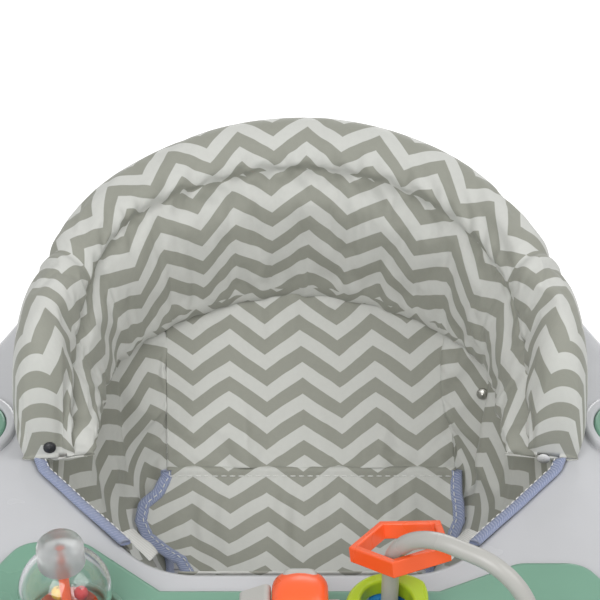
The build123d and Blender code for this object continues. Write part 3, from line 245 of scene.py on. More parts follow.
def spun(name, code, roughness, twist_mm=1.0):
    """Spun thread or woven webbing: matt, with a fine twist."""
    made, tree, shader = start_material(name, **{"Roughness": roughness, "Sheen Weight": 0.2})
    place = add(tree, "ShaderNodeTexCoord").outputs["Object"]
    twist = add(tree, "ShaderNodeTexWave", {"Vector": place, "Scale": 1 / (twist_mm * MM) / 3.2,
                                            "Distortion": 2.0}, bands_direction="DIAGONAL")
    tone = add(tree, "ShaderNodeMapRange", {"Value": twist.outputs["Fac"], "To Min": 0.86, "To Max": 1.0})
    base = add(tree, "ShaderNodeMix", {"Factor": 1.0, "A": rgba(linear(code)), "B": tone.outputs[0]},
               data_type="RGBA", blend_type="MULTIPLY")
    bump = add(tree, "ShaderNodeBump", {"Height": twist.outputs["Fac"], "Strength": 0.5,
                                        "Distance": 0.2 * MM})
    tree.links.new(base.outputs["Result"], shader.inputs["Base Color"])
    tree.links.new(bump.outputs[0], shader.inputs["Normal"])
    return made


def steel(name, code, roughness, metallic, grain_mm):
    """Steel tube or pin: powder coat with orange peel where it is painted, drawn grain where it is bare."""
    made, tree, shader = start_material(name, **{"Metallic": metallic, "Base Color": rgba(linear(code))})
    place = add(tree, "ShaderNodeTexCoord").outputs["Object"]
    grain = add(tree, "ShaderNodeTexNoise", {"Vector": place, "Scale": 1 / (grain_mm * MM), "Detail": 4.0})
    gloss = add(tree, "ShaderNodeMapRange", {"Value": grain.outputs["Fac"], "To Min": roughness - 0.08,
                                             "To Max": roughness + 0.1})
    bump = add(tree, "ShaderNodeBump", {"Height": grain.outputs["Fac"], "Strength": 0.3,
                                        "Distance": 0.08 * MM})
    tree.links.new(gloss.outputs[0], shader.inputs["Roughness"])
    tree.links.new(bump.outputs[0], shader.inputs["Normal"])
    return made


def clear_styrene():
    """Clear polystyrene: a water-clear wall with a bright edge and faint moulding ripples."""
    made, tree, shader = start_material("clear_polystyrene", **{
        "Base Color": (0.95, 0.96, 0.97, 1), "Roughness": 0.03, "IOR": 1.42, "Transmission Weight": 1.0})
    place = add(tree, "ShaderNodeTexCoord").outputs["Object"]
    waves = add(tree, "ShaderNodeTexNoise", {"Vector": place, "Scale": 1 / (14 * MM), "Detail": 1.0})
    bump = add(tree, "ShaderNodeBump", {"Height": waves.outputs["Fac"], "Strength": 0.15,
                                        "Distance": 0.6 * MM})
    tree.links.new(bump.outputs[0], shader.inputs["Normal"])
    return made


# Mesh helpers, in metres

def spline(points, count, closed=False):
    """Points evenly spread along a smooth curve through the given ones."""
    p = np.asarray(points, float)
    ends = (p[-1:], p[:2]) if closed else (2 * p[:1] - p[1:2], 2 * p[-1:] - p[-2:-1])
    q = np.concatenate([ends[0], p, ends[1]])
    spans = len(p) if closed else len(p) - 1
    t = np.linspace(0, 1, 24, endpoint=False)[:, None]
    runs = []
    for k in range(spans):
        a, b, c, d = q[k:k + 4]
        runs.append(0.5 * (2 * b + (c - a) * t + (2 * a - 5 * b + 4 * c - d) * t ** 2
                           + (3 * b - 3 * c + d - a) * t ** 3))
    fine = np.concatenate(runs + [p[:1] if closed else p[-1:]])
    return resample(fine, count)


def resample(points, count):
    """Points evenly spread along a polyline."""
    p = np.asarray(points, float)
    run = np.concatenate([[0], np.cumsum(np.linalg.norm(np.diff(p, axis=0), axis=1))])
    at = np.linspace(0, run[-1], count)
    return np.stack([np.interp(at, run, p[:, k]) for k in range(p.shape[1])], 1)


def arc_length(points):
    """Distance along a polyline at each of its points."""
    return np.concatenate([[0], np.cumsum(np.linalg.norm(np.diff(points, axis=0), axis=1))])


def ripple(seed, at, longest, count=5):
    """A smooth, irregular wave along a distance, about -1 to 1, the same on each run."""
    draw = np.random.RandomState(seed)
    total = np.zeros_like(at)
    for k in range(count):
        size = longest * 0.72 ** k * draw.uniform(0.85, 1.15)
        total += 0.78 ** k * np.sin(2 * np.pi * at / size + draw.uniform(0, 2 * np.pi))
    return total / 2.0


def tucks(seed, at, spacing):
    """Gathers along a distance: rounded puffs from -1 to 1 with sharp, irregular valleys between them."""
    draw = np.random.RandomState(seed)
    valleys = np.cumsum(spacing * draw.uniform(0.55, 1.5, int(at[-1] / spacing * 1.6) + 8)) - spacing
    return 2 * np.abs(np.sin(np.pi * np.interp(at, valleys, np.arange(len(valleys))))) - 1


def make_object(name, points, faces, finish, loops=None):
    """A smooth mesh object; loops gives the place on the cloth of each face corner, in metres."""
    mesh = bpy.data.meshes.new(name)
    mesh.from_pydata([tuple(p) for p in points], [], [tuple(map(int, f)) for f in faces])
    if loops is not None:
        layer = mesh.uv_layers.new(name="cloth")
        layer.data.foreach_set("uv", np.asarray(loops, np.float32).ravel())
    mesh.polygons.foreach_set("use_smooth", [True] * len(mesh.polygons))
    mesh.materials.append(finish)
    mesh.update()
    made = bpy.data.objects.new(name, mesh)
    bpy.context.scene.collection.objects.link(made)
    return made


def grid_faces(rows, columns, wrap=False):
    """Quads of a grid of rows by columns, and the row and column of their corners."""
    i, j = np.meshgrid(np.arange(rows - 1), np.arange(columns if wrap else columns - 1), indexing="ij")
    i, j = i.ravel(), j.ravel()
    corner_rows = np.stack([i, i + 1, i + 1, i], 1)
    corner_columns = np.stack([j, j, j + 1, j + 1], 1)
    return corner_rows * columns + corner_columns % columns, corner_rows, corner_columns


def sheet(name, points, cloth_places, finish):
    """A sheet of cloth from a grid of points."""
    rows, columns = points.shape[:2]
    faces, corner_rows, corner_columns = grid_faces(rows, columns)
    loops = cloth_places[corner_rows, corner_columns]
    return make_object(name, points.reshape(-1, 3), faces, finish, loops.reshape(-1, 2))


def smooth_over(made):
    """Rounds a mesh by one level."""
    finer = made.modifiers.new("smooth", "SUBSURF")
    finer.levels = finer.render_levels = 1


def thicken(made):
    """Gives a sheet its thickness and a closed edge."""
    solid = made.modifiers.new("thickness", "SOLIDIFY")
    solid.thickness = CLOTH_THICK
    solid.offset = 0.0
    solid.use_even_offset = False
    smooth_over(made)


def tape(name, path, up, width, finish, round_sides=10):
    """A flat tape with rounded edges, swept along a path with its broad face towards up."""
    path, up = np.asarray(path), np.asarray(up)
    along = np.gradient(path, axis=0)
    along /= np.linalg.norm(along, axis=1)[:, None]
    side = np.cross(along, up)
    side /= np.linalg.norm(side, axis=1)[:, None]
    face = np.cross(side, along)
    turn = np.linspace(0, 2 * np.pi, round_sides, endpoint=False)
    reach = np.sign(np.cos(turn)) * np.abs(np.cos(turn)) ** 0.6 * width / 2
    rise = np.sign(np.sin(turn)) * np.abs(np.sin(turn)) ** 0.8 * TAPE_THICK / 2
    points = path[:, None] + side[:, None] * reach[None, :, None] + face[:, None] * rise[None, :, None]
    rows = len(path)
    faces, corner_rows, corner_columns = grid_faces(rows, round_sides, wrap=True)
    run = arc_length(path)
    girth = np.linspace(0, 2 * width, round_sides + 1)
    loops = np.stack([run[corner_rows], girth[corner_columns]], 2).reshape(-1, 2)
    first, last = np.arange(round_sides)[::-1], (rows - 1) * round_sides + np.arange(round_sides)
    all_faces = [*faces, first, last]
    loops = np.concatenate([loops, np.zeros((2 * round_sides, 2))])
    return make_object(name, points.reshape(-1, 3), all_faces, finish, loops)


def stitch_row(name, path, up, sizes):
    """A row of running stitches along a path, each a small rounded thread lying on the cloth."""
    stitch, gap, radius = sizes
    path, up = np.asarray(path), np.asarray(up)
    run = arc_length(path)
    places = np.arange(gap, run[-1] - stitch, stitch + gap)
    rings = np.array([-0.5, -0.38, 0.0, 0.38, 0.5])
    swell = np.array([0.15, 0.8, 1.0, 0.8, 0.15])
    sides = 6
    turn = np.linspace(0, 2 * np.pi, sides, endpoint=False)
    points, faces = [], []
    for at in places:
        middle = np.array([np.interp(at + stitch / 2, run, path[:, k]) for k in range(3)])
        tail = np.array([np.interp(at, run, path[:, k]) for k in range(3)])
        head = np.array([np.interp(at + stitch, run, path[:, k]) for k in range(3)])
        normal = np.array([np.interp(at, run, up[:, k]) for k in range(3)])
        along = (head - tail) / np.linalg.norm(head - tail)
        side = np.cross(along, normal)
        side /= np.linalg.norm(side)
        normal = np.cross(side, along)
        begin = len(points)
        for ring, size in zip(rings, swell):
            for angle in turn:
                points.append(middle + along * ring * stitch
                              + (side * np.cos(angle) + normal * np.sin(angle)) * radius * size)
        for a in range(len(rings) - 1):
            near, far = begin + a * sides, begin + (a + 1) * sides
            for b in range(sides):
                c = (b + 1) % sides
                faces.append([near + b, near + c, far + c, far + b])
        faces.append([begin + b for b in range(sides)][::-1])
        faces.append([begin + (len(rings) - 1) * sides + b for b in range(sides)])
    return make_object(name, points, faces, bpy.data.materials["white_polyester_thread"])


def snap(name, place, facing, radius, finish):
    """A pressed snap: a low dome inside a rolled rim."""
    facing = np.asarray(facing) / np.linalg.norm(facing)
    side = np.cross(facing, (0.0, 0.3, 1.0))
    side /= np.linalg.norm(side)
    other = np.cross(facing, side)
    rings = ((0.05, 0.46), (0.5, 0.42), (0.75, 0.28), (0.84, 0.16), (0.93, 0.27), (1.0, 0.16), (1.0, -0.1),
             (0.05, -0.1))
    sides = 20
    turn = np.linspace(0, 2 * np.pi, sides, endpoint=False)[:, None]
    points = [place + radius * (reach * (side * np.cos(turn) + other * np.sin(turn)) + rise * facing)
              for reach, rise in rings]
    faces = [*grid_faces(len(rings), sides, wrap=True)[0], np.arange(sides)[::-1],
             (len(rings) - 1) * sides + np.arange(sides)]
    return make_object(name, np.concatenate(points), faces, finish)


def settle(made, sewn, frames, pressure=0.0, growth=0.0, cap=0.01, gravity=0.0, bend=0.5):
    """Lets the cloth take its shape with its sewn points held, and keeps the result."""
    scene = bpy.context.scene
    group = made.vertex_groups.new(name="sewn")
    for level in np.unique(sewn[sewn > 0]):
        group.add([int(k) for k in np.flatnonzero(sewn == level)], float(level), "REPLACE")
    start = coordinates(made)
    modifier = made.modifiers.new("Cloth", "CLOTH")
    cloth = modifier.settings
    cloth.vertex_group_mass = "sewn"
    cloth.quality = 6
    cloth.mass = 0.15
    cloth.tension_stiffness = cloth.compression_stiffness = 12
    cloth.shear_stiffness = 6
    cloth.bending_stiffness = bend
    cloth.tension_damping = cloth.compression_damping = 8
    cloth.air_damping = 2
    cloth.shrink_min = -growth
    cloth.use_pressure = pressure > 0
    cloth.uniform_pressure_force = pressure
    cloth.effector_weights.gravity = gravity
    modifier.collision_settings.use_collision = False
    modifier.point_cache.frame_start = 1
    modifier.point_cache.frame_end = frames
    for step in range(1, frames + 1):
        scene.frame_set(step)
    view = made.evaluated_get(bpy.context.evaluated_depsgraph_get())
    ended = np.zeros(len(start) * 3)
    view.data.vertices.foreach_get("co", ended)
    moved = ended.reshape(-1, 3) - start
    made.modifiers.remove(modifier)
    scene.frame_set(1)
    far = np.linalg.norm(moved, axis=1)
    moved *= (cap * np.tanh(far / cap) / np.maximum(far, 1e-9))[:, None]
    set_coordinates(made, start + moved)


def coordinates(made):
    """Places of a mesh's points."""
    found = np.zeros(len(made.data.vertices) * 3)
    made.data.vertices.foreach_get("co", found)
    return found.reshape(-1, 3)


def set_coordinates(made, points):
    """Moves a mesh's points to new places."""
    made.data.vertices.foreach_set("co", np.asarray(points, float).ravel())
    made.data.update()


def put(made, body):
    """Makes a piece ride on its CAD body."""
    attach(made, body)
    return made


# Shapes of the seat, in millimetres until they are handed to a mesh

def rim(seat, degrees, inset=0.0):
    """Plan points on the rear half of the opening and their outward normals."""
    turn = np.radians(np.asarray(degrees, float))
    half, depth = seat.half / MM - inset, seat.depth / MM - inset
    place = np.stack([half * np.cos(turn), seat.middle / MM + depth * np.sin(turn)], -1)
    normal = np.stack([np.cos(turn) / half, np.sin(turn) / depth], -1)
    return place, normal / np.linalg.norm(normal, axis=-1, keepdims=True)


def seen_directly(tree):
    """1 where a camera, glossy or transmission ray meets the backdrop, else 0."""
    ray = add(tree, "ShaderNodeLightPath")
    seen = add(tree, "ShaderNodeMath", {0: ray.outputs["Is Camera Ray"], 1: ray.outputs["Is Glossy Ray"]},
               operation="MAXIMUM")
    return add(tree, "ShaderNodeMath", {0: seen.outputs[0], 1: ray.outputs["Is Transmission Ray"]},
               operation="MAXIMUM").outputs[0]


class WALKER_OT_stage(bpy.types.Operator):
    """Floor, backdrop, lamps and camera."""
    bl_idname = "walker.stage"
    bl_label = "Stage"

    def execute(self, context):
        scene = context.scene
        stage = scene.walker_stage
        scene.view_settings.view_transform = "Standard"
        camera = bpy.data.cameras.new("camera")
        camera.lens = stage.lens
        camera.sensor_width = 36.0
        camera.clip_end = 50
        eye = bpy.data.objects.new("camera", camera)
        eye.location = EYE
        eye.rotation_euler = (math.pi / 2 - stage.tilt, 0, 0)
        scene.collection.objects.link(eye)
        scene.camera = eye

        size = 12.0
        floor = bpy.data.meshes.new("floor")
        corners = [(-size, -size, 0), (size, -size, 0), (size, size, 0), (-size, size, 0)]
        floor.from_pydata(corners, [], [(0, 1, 2, 3)])
        ground = bpy.data.objects.new("floor", floor)
        scene.collection.objects.link(ground)
        made = bpy.data.materials.new("white_studio_floor")
        made.use_nodes = True
        tree = made.node_tree
        tree.nodes.clear()
        glow = add(tree, "ShaderNodeMath", {0: seen_directly(tree), 1: 0.45}, operation="MULTIPLY")
        matt = add(tree, "ShaderNodeBsdfDiffuse", {"Color": (0.85, 0.85, 0.85, 1)})
        light = add(tree, "ShaderNodeEmission", {"Strength": glow.outputs[0]})
        both = add(tree, "ShaderNodeAddShader", {0: matt.outputs[0], 1: light.outputs[0]})
        add(tree, "ShaderNodeOutputMaterial", {"Surface": both.outputs[0]})
        floor.materials.append(made)

        world = bpy.data.worlds.new("studio")
        scene.world = world
        world.use_nodes = True
        sky = world.node_tree
        sky.nodes.clear()
        room = add(sky, "ShaderNodeMix", {"Factor": seen_directly(sky), "A": stage.fill, "B": 1.0},
                   data_type="FLOAT")
        back = add(sky, "ShaderNodeBackground", {"Color": (1, 1, 1, 1), "Strength": room.outputs[0]})
        add(sky, "ShaderNodeOutputWorld", {"Surface": back.outputs[0]})

        lamps = (("key", (-0.55, -1.3, 1.85), 1.2, stage.key),
                 ("side", (1.2, -0.4, 1.7), 1.0, stage.key * 0.45),
                 ("back", (0.2, 2.0, 1.0), 1.0, stage.key * 0.5))
        for name, place, wide, power in lamps:
            lamp = bpy.data.lights.new(name, "AREA")
            lamp.size = wide
            lamp.energy = power
            holder = bpy.data.objects.new(name, lamp)
            holder.location = place
            holder.visible_camera = False
            holder.rotation_euler = (Vector(AIM) - Vector(place)).to_track_quat("-Z", "Y").to_euler()
            scene.collection.objects.link(holder)
        return {"FINISHED"}


class WALKER_OT_mouldings(bpy.types.Operator):
    """Finishes of the CAD nodes that keep their own shape."""
    bl_idname = "walker.mouldings"
    bl_label = "Mouldings and metal"

    def execute(self, context):
        tints = context.scene.walker_plastics
        finishes = {
            "white": moulded("white_abs_gloss", tints.white, 0.22, **{"Coat Weight": 0.15}),
            "mint": moulded("mint_abs_gloss", tints.mint, 0.3),
            "orange": moulded("orange_abs_gloss", tints.orange, 0.28),
            "lime": moulded("lime_abs_gloss", tints.lime, 0.28),
            "blue": moulded("blue_abs_gloss", tints.blue, 0.28),
            "grey": moulded("grey_abs_gloss", tints.grey, 0.3),
            "satin": moulded("pale_grey_nylon_satin", linear("#C9CBCD"), 0.45),
            "castor": moulded("white_nylon_satin", linear("#D5D7D9"), 0.42),
            "wheel": moulded("dark_grey_polypropylene", tints.dark, 0.5, skin_mm=0.8, skin=0.05),
            "rubber": moulded("black_thermoplastic_rubber", linear("#2B2C2E"), 0.75, skin_mm=0.7, skin=0.08),
            "tube": steel("white_powder_coated_steel", "#DADCDE", 0.35, 0.0, 0.9),
            "pin": steel("zinc_plated_steel", "#B9BCC0", 0.3, 1.0, 0.5),
            "clear": clear_styrene(),
            "frosted": moulded("frosted_polystyrene", linear("#D9DADA"), 0.32,
                               **{"Transmission Weight": 0.85, "IOR": 1.25}),
            "board": moulded("white_polypropylene_sheet", linear("#D8D8D4"), 0.55),
        }
        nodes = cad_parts
        groups = {
            "white": ["base_ring", "tray_shell"],
            "mint": ["toy_tray", "side_inserts"],
            "orange": ["rattle_cup", "roller_drum", "hex_ring", "release_lever"],
            "lime": ["leaf_ring", "band_ring"],
            "blue": ["triangle_ring"],
            "grey": ["bead_arch", "roller_bars", "roller_stand"],
            "satin": ["lower_brackets", "base_guides", "upper_brackets", "height_racks", "seat_tabs"],
            "castor": [name for name in nodes if name.startswith("castor_fork")],
            "wheel": [name for name in nodes if name.startswith("castor_wheel")],
            "rubber": ["grip_pads"],
            "tube": [name for name in nodes if "_leg_" in name or name.endswith("crossbar")],
            "pin": ["lower_pins", "upper_pins", "lever_pin", "scissor_rivets"]
                   + [name for name in nodes if name.startswith("castor_axle")],
            "clear": ["rattle_shell"],
            "frosted": ["rattle_knob"],
            "board": ["back_board"],
        }
        for finish, names in groups.items():
            for name in names:
                nodes[name].data.materials.clear()
                nodes[name].data.materials.append(finishes[finish])
        return {"FINISHED"}


class WALKER_OT_beads(bpy.types.Operator):
    """Coloured beads in the rattle ball."""
    bl_idname = "walker.beads"
    bl_label = "Rattle beads"

    def execute(self, context):
        low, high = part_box("rattle_beads")
        middle = (low + high) / 2
        radius = (high.z - low.z) / 2
        reach = (high.x - low.x) / 2 - radius
        codes = ("#23356E", "#D8262B", "#F3C623", "#2FA84F", "#F06A25", "#2D78C8")
        for k, code in enumerate(codes):
            turn = 2 * math.pi * k / len(codes)
            rows, columns = 12, 20
            points = []
            for a in range(rows):
                tilt = math.pi * (a + 0.5) / rows
                for b in range(columns):
                    spin = 2 * math.pi * b / columns
                    points.append((math.sin(tilt) * math.cos(spin), math.sin(tilt) * math.sin(spin),
                                   math.cos(tilt)))
            centre = np.array([middle.x + reach * math.cos(turn), middle.y + reach * math.sin(turn),
                               middle.z])
            faces = list(grid_faces(rows, columns, wrap=True)[0])
            faces += [np.arange(columns)[::-1], (rows - 1) * columns + np.arange(columns)]
            bead = make_object(f"rattle_bead_{k + 1}", centre + np.array(points) * radius * 0.98, faces,
                               moulded(f"bead_polystyrene_{k + 1}", linear(code), 0.25))
            put(bead, "rattle")
            if k == 0:
                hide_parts("rattle_beads")
        return {"FINISHED"}


# Padded back: stations along the horseshoe, each a closed section with sewn corners

PANEL_STEPS = 22        # columns of the inner panel, lower seam to inner seam
ROLL_STEPS = 60         # columns of the roll, inner seam over the crest to the foot
FOOT_STEPS = 10         # columns of the underside
PAD_ROWS = 196
NOSE_ROWS = 16
SIDE_SEAMS = (27.0, 153.0)
END_TURN = math.radians(25)  # how the print is turned on the two end pieces
HEM_ANGLES = (-8, 10, 23, 32, 66, 90)  # how far the lower hem stands into the opening, round the horseshoe
HEM_OVERHANG = (43, 42, 34, 28, 20, 14)


def pad_profile(seat, degrees):
    """Closed section of the padded back at an angle, as (outward, up) from the opening's rim and the deck."""
    rise = max(0.0, math.sin(math.radians(degrees)))

    def blend(end, rear, curve):
        return end + (rear - end) * rise ** curve

    height = blend(seat.pad_end / MM, seat.pad_height / MM, 1.5)
    uneven = math.exp(-((degrees - 138) / 17) ** 2)
    seam = blend(24.0, 110.0, 0.7) + 8 * uneven
    inside = blend(29.0, 8.0, 1.2) - 3 * uneven
    overhang = float(np.interp(90 - abs(degrees - 90), HEM_ANGLES, HEM_OVERHANG))
    foot = blend(1.0, 25.0, 1.2)
    belly = blend(10.0, 30.0, 1.2)
    roll, width = height - seam, inside + belly
    hem = 7.0 + 6.0 * rise
    lower, sewn, outer = (-overhang, hem), (-inside + 4, seam), (foot, 2.0)
    lean, tall = overhang - inside + 4, seam - hem
    panel = spline([lower, (-overhang + 0.33 * lean - 4, hem + 0.33 * tall),
                    (-overhang + 0.7 * lean - 5, hem + 0.7 * tall), sewn], PANEL_STEPS + 1)
    bolster = spline([sewn, (-inside + 0.02 * width, seam + 0.34 * roll),
                      (-inside + 0.18 * width, seam + 0.8 * roll), (-inside + 0.5 * width, height),
                      (-inside + 0.82 * width, seam + 0.82 * roll), (belly, seam + 0.28 * roll),
                      (belly * 0.98 + foot * 0.02, seam * 0.6), outer], ROLL_STEPS + 1)
    under = spline([outer, (foot - 3, 0.8), (-overhang + 6, 0.8), lower], FOOT_STEPS + 1)
    return np.concatenate([panel[:-1], bolster[:-1], under[:-1]])


class WALKER_OT_back_pad(bpy.types.Operator):
    """Padded horseshoe back: inner panel and roll, inflated between their seams."""
    bl_idname = "walker.back_pad"
    bl_label = "Padded back"

    def execute(self, context):
        seat = context.scene.walker_seat
        start, end = 7.0, 173.0
        body_rows = PAD_ROWS - 2 * NOSE_ROWS
        nose = 14.0
        round_over = np.sin(np.linspace(0, 0.485 * np.pi, NOSE_ROWS + 1)[1:])
        angles = np.concatenate([start - nose * round_over[::-1], np.linspace(start, end, body_rows),
                                 end + nose * round_over])
        columns = PANEL_STEPS + ROLL_STEPS + FOOT_STEPS
        points = np.zeros((len(angles), columns, 3))
        for row, angle in enumerate(angles):
            section = pad_profile(seat, angle)
            past = max(start - angle, angle - end, 0) / nose
            middle = np.array([section[:, 0].mean(), section[:, 1].max() * 0.42])
            section[:, 0] = middle[0] + (section[:, 0] - middle[0]) * (1 - (0.8 * past) ** 4) ** 0.25
            section[:, 1] = 0.8 + (section[:, 1] - 0.8) * math.sqrt(1 - past ** 2)
            for seam in SIDE_SEAMS:
                pull = math.exp(-((angle - seam) / 1.6) ** 2)
                roll = slice(PANEL_STEPS, PANEL_STEPS + ROLL_STEPS)
                section[roll] = middle + (section[roll] - middle) * (1 - 0.075 * pull)
            place, normal = rim(seat, angle)
            points[row, :, 0] = place[0] + normal[0] * section[:, 0]
            points[row, :, 1] = place[1] + normal[1] * section[:, 0]
            points[row, :, 2] = seat.deck / MM + section[:, 1]
        run = arc_length(points[:, PANEL_STEPS, :])
        smooth = points.copy()
        self.pucker(points, run)
        made = self.mesh(points * MM, smooth * MM, angles)
        put(made, "tray")
        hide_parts("back_pad")
        sewn = np.zeros((len(angles), columns))
        sewn[:, 0] = sewn[:, PANEL_STEPS] = 1.0
        sewn[:, 1] = sewn[:, PANEL_STEPS - 1] = sewn[:, PANEL_STEPS + 1] = 0.12
        sewn[:, PANEL_STEPS + ROLL_STEPS:] = 1.0
        for seam in SIDE_SEAMS:
            row = int(np.abs(angles - seam).argmin())
            sewn[row, PANEL_STEPS:PANEL_STEPS + ROLL_STEPS] = 0.9
        sewn = np.concatenate([sewn.ravel(), [0.0, 0.0]])
        settle(made, sewn, 24, pressure=3.0, growth=0.03, cap=0.006, bend=0.25)
        self.snaps(made)
        smooth_over(made)
        return {"FINISHED"}

    def snaps(self, made):
        """The snaps under the two ends, one black and one white."""
        found = coordinates(made)
        for side, target, finish in (("left", (-164, -4, 396), "black_acetal"),
                                     ("right", (159, -6, 389), "white_acetal")):
            nearest = int(np.linalg.norm(found - np.array(target) * MM, axis=1).argmin())
            put(snap(f"end_snap_{side}", found[nearest], made.data.vertices[nearest].normal, 0.0042,
                     bpy.data.materials[finish]), "tray")

    def pucker(self, points, run):
        """Tucks along the seams, deep at the seam and gone a finger's width away."""
        columns = points.shape[1]
        middle = points[:, :PANEL_STEPS + ROLL_STEPS].mean(1, keepdims=True)
        outward = points - middle
        outward /= np.maximum(np.linalg.norm(outward, axis=2, keepdims=True), 1e-6)
        column = np.arange(columns)
        tight = tucks(4, run, 17.0)[:, None]
        short = tucks(6, run, 13.0)[:, None]
        loose = ripple(9, run, 46.0)[:, None]
        past = column - PANEL_STEPS
        on_roll = np.where(past >= 0, np.exp(-(past / 5.0) ** 2), 0)[None]
        on_panel = np.where(past < 0, np.exp(-(past / 2.6) ** 2), 0)[None]
        from_hem = np.minimum(column, 2.0 * (columns - column))
        at_edge = np.exp(-(from_hem / 5.0) ** 2)[None]
        points += outward * (3.2 * tight * on_roll + 2.6 * short * on_panel + 2.4 * loose * at_edge
                             + 1.0 * short * np.exp(-(from_hem / 2.5) ** 2)[None])[:, :, None]
        points[:, 0, 2] += 2.0 * loose[:, 0]

    def mesh(self, points, smooth, angles):
        """The closed mesh, its ends capped, with the place on the cloth of each corner before gathering."""
        rows, columns = points.shape[:2]
        faces, corner_rows, corner_columns = grid_faces(rows, columns, wrap=True)
        middle = int(np.abs(angles - 90).argmin())
        crest = PANEL_STEPS + ROLL_STEPS // 3
        panel_run = arc_length(smooth[:, PANEL_STEPS // 2])
        roll_run = arc_length(smooth[:, crest])
        closed = np.concatenate([smooth, smooth[:, :1]], 1)
        girth = np.stack([arc_length(section) for section in closed])
        panel_face = (corner_columns.min(1) < PANEL_STEPS)[:, None]
        roll_at = (roll_run - roll_run[middle])[corner_rows]
        u = np.where(panel_face, (panel_run - panel_run[middle])[corner_rows], roll_at) + 0.004
        v = girth[corner_rows, corner_columns] - girth[corner_rows, PANEL_STEPS]
        face_angle = angles[corner_rows].mean(1)[:, None]
        outside = (face_angle < SIDE_SEAMS[0]) | (face_angle > SIDE_SEAMS[1])
        seam_row = int(np.abs(angles - SIDE_SEAMS[0]).argmin())
        beyond = np.abs(roll_at) - np.abs(roll_run - roll_run[middle])[seam_row]
        end_piece = outside & ~panel_face
        over = girth[corner_rows, corner_columns] - girth[corner_rows, crest]
        u, v = (np.where(end_piece, math.cos(END_TURN) * over + math.sin(END_TURN) * beyond, u),
                np.where(end_piece, math.cos(END_TURN) * beyond - math.sin(END_TURN) * over, v))
        loops = np.stack([u, v], 2).reshape(-1, 2)
        flat = points.reshape(-1, 3)
        caps, cap_loops = [], []
        extra = []
        for row, flip in ((0, False), (rows - 1, True)):
            centre = len(flat) + len(extra)
            extra.append(points[row].mean(0))
            for j in range(columns):
                k = (j + 1) % columns
                a, b = row * columns + j, row * columns + k
                caps.append([a, b, centre] if flip else [b, a, centre])
                for corner in (points[row, j], points[row, k], extra[-1])[::1 if flip else -1]:
                    cap_loops.append((corner[0] - extra[-1][0], corner[2]))
        every = [*faces, *caps]
        loops = np.concatenate([loops, cap_loops])
        made = make_object("padded_back", np.concatenate([flat, extra]), every,
                           bpy.data.materials["printed_polyester_taffeta"], loops)
        made.data.flip_normals()
        return made


class WALKER_OT_cloth(bpy.types.Operator):
    """Cloth finishes used by the seat."""
    bl_idname = "walker.cloth"
    bl_label = "Cloth finishes"

    def execute(self, context):
        cloth = context.scene.walker_cloth
        chevron_cloth(cloth)
        twill_tape(cloth)
        spun("white_polyester_thread", "#EDEDEA", 0.7)
        spun("white_polyester_lining", "#D6D6D2", 0.75)
        moulded("black_acetal", linear("#2A2B2E"), 0.4)
        moulded("white_acetal", linear("#DCDDDD"), 0.35)
        steel("nickel_plated_brass", "#B9B8B2", 0.3, 1.0, 0.6)
        return {"FINISHED"}


# Hanging panels

def back_panel_points(seat):
    """Grid of the lower back panel, from the rim down to the back seam."""
    rows, columns = 73, 41
    deck = seat.deck / MM
    left, right = -99.0, 105.0
    across = np.linspace(0, 1, rows)
    x_top = left + (right - left) * across
    lean = np.degrees(np.arccos(np.clip(x_top / (seat.half / MM - 7), -1, 1)))
    top = np.concatenate([rim(seat, lean, 7.0)[0], np.full((rows, 1), deck + 10)], 1)
    bottom = np.stack([-99 + 215 * across, np.full(rows, 96.0), np.full(rows, deck - 92)], 1)
    down = np.linspace(0, 1, columns)
    points = top[:, None] + (bottom - top)[:, None] * down[None, :, None]
    sag = np.sin(np.pi * down) ** 0.9
    normal = np.array([0, -0.72, 0.69])
    points -= normal * (6.0 * sag * np.sin(np.pi * across)[:, None] ** 0.5)[:, :, None]
    crease = (across - 0.25)[:, None] - 0.035 * down[None]
    folds = 5.0 * np.exp(-np.abs(crease / 0.035) ** 1.3) * (np.clip((down - 0.5) / 0.3, 0, 1) ** 1.5)[None]
    folds += 2.6 * np.exp(-((across - 0.73) / 0.05) ** 2)[:, None] * np.clip((down - 0.6) / 0.4, 0, 1)[None]
    folds += 1.8 * ripple(21, across * 215, 60.0)[:, None] * (down ** 2)[None]
    folds += 2.0 * ripple(23, across * 215, 44.0)[:, None] * ((1 - down) ** 3)[None]
    points += normal * folds[:, :, None]
    return points


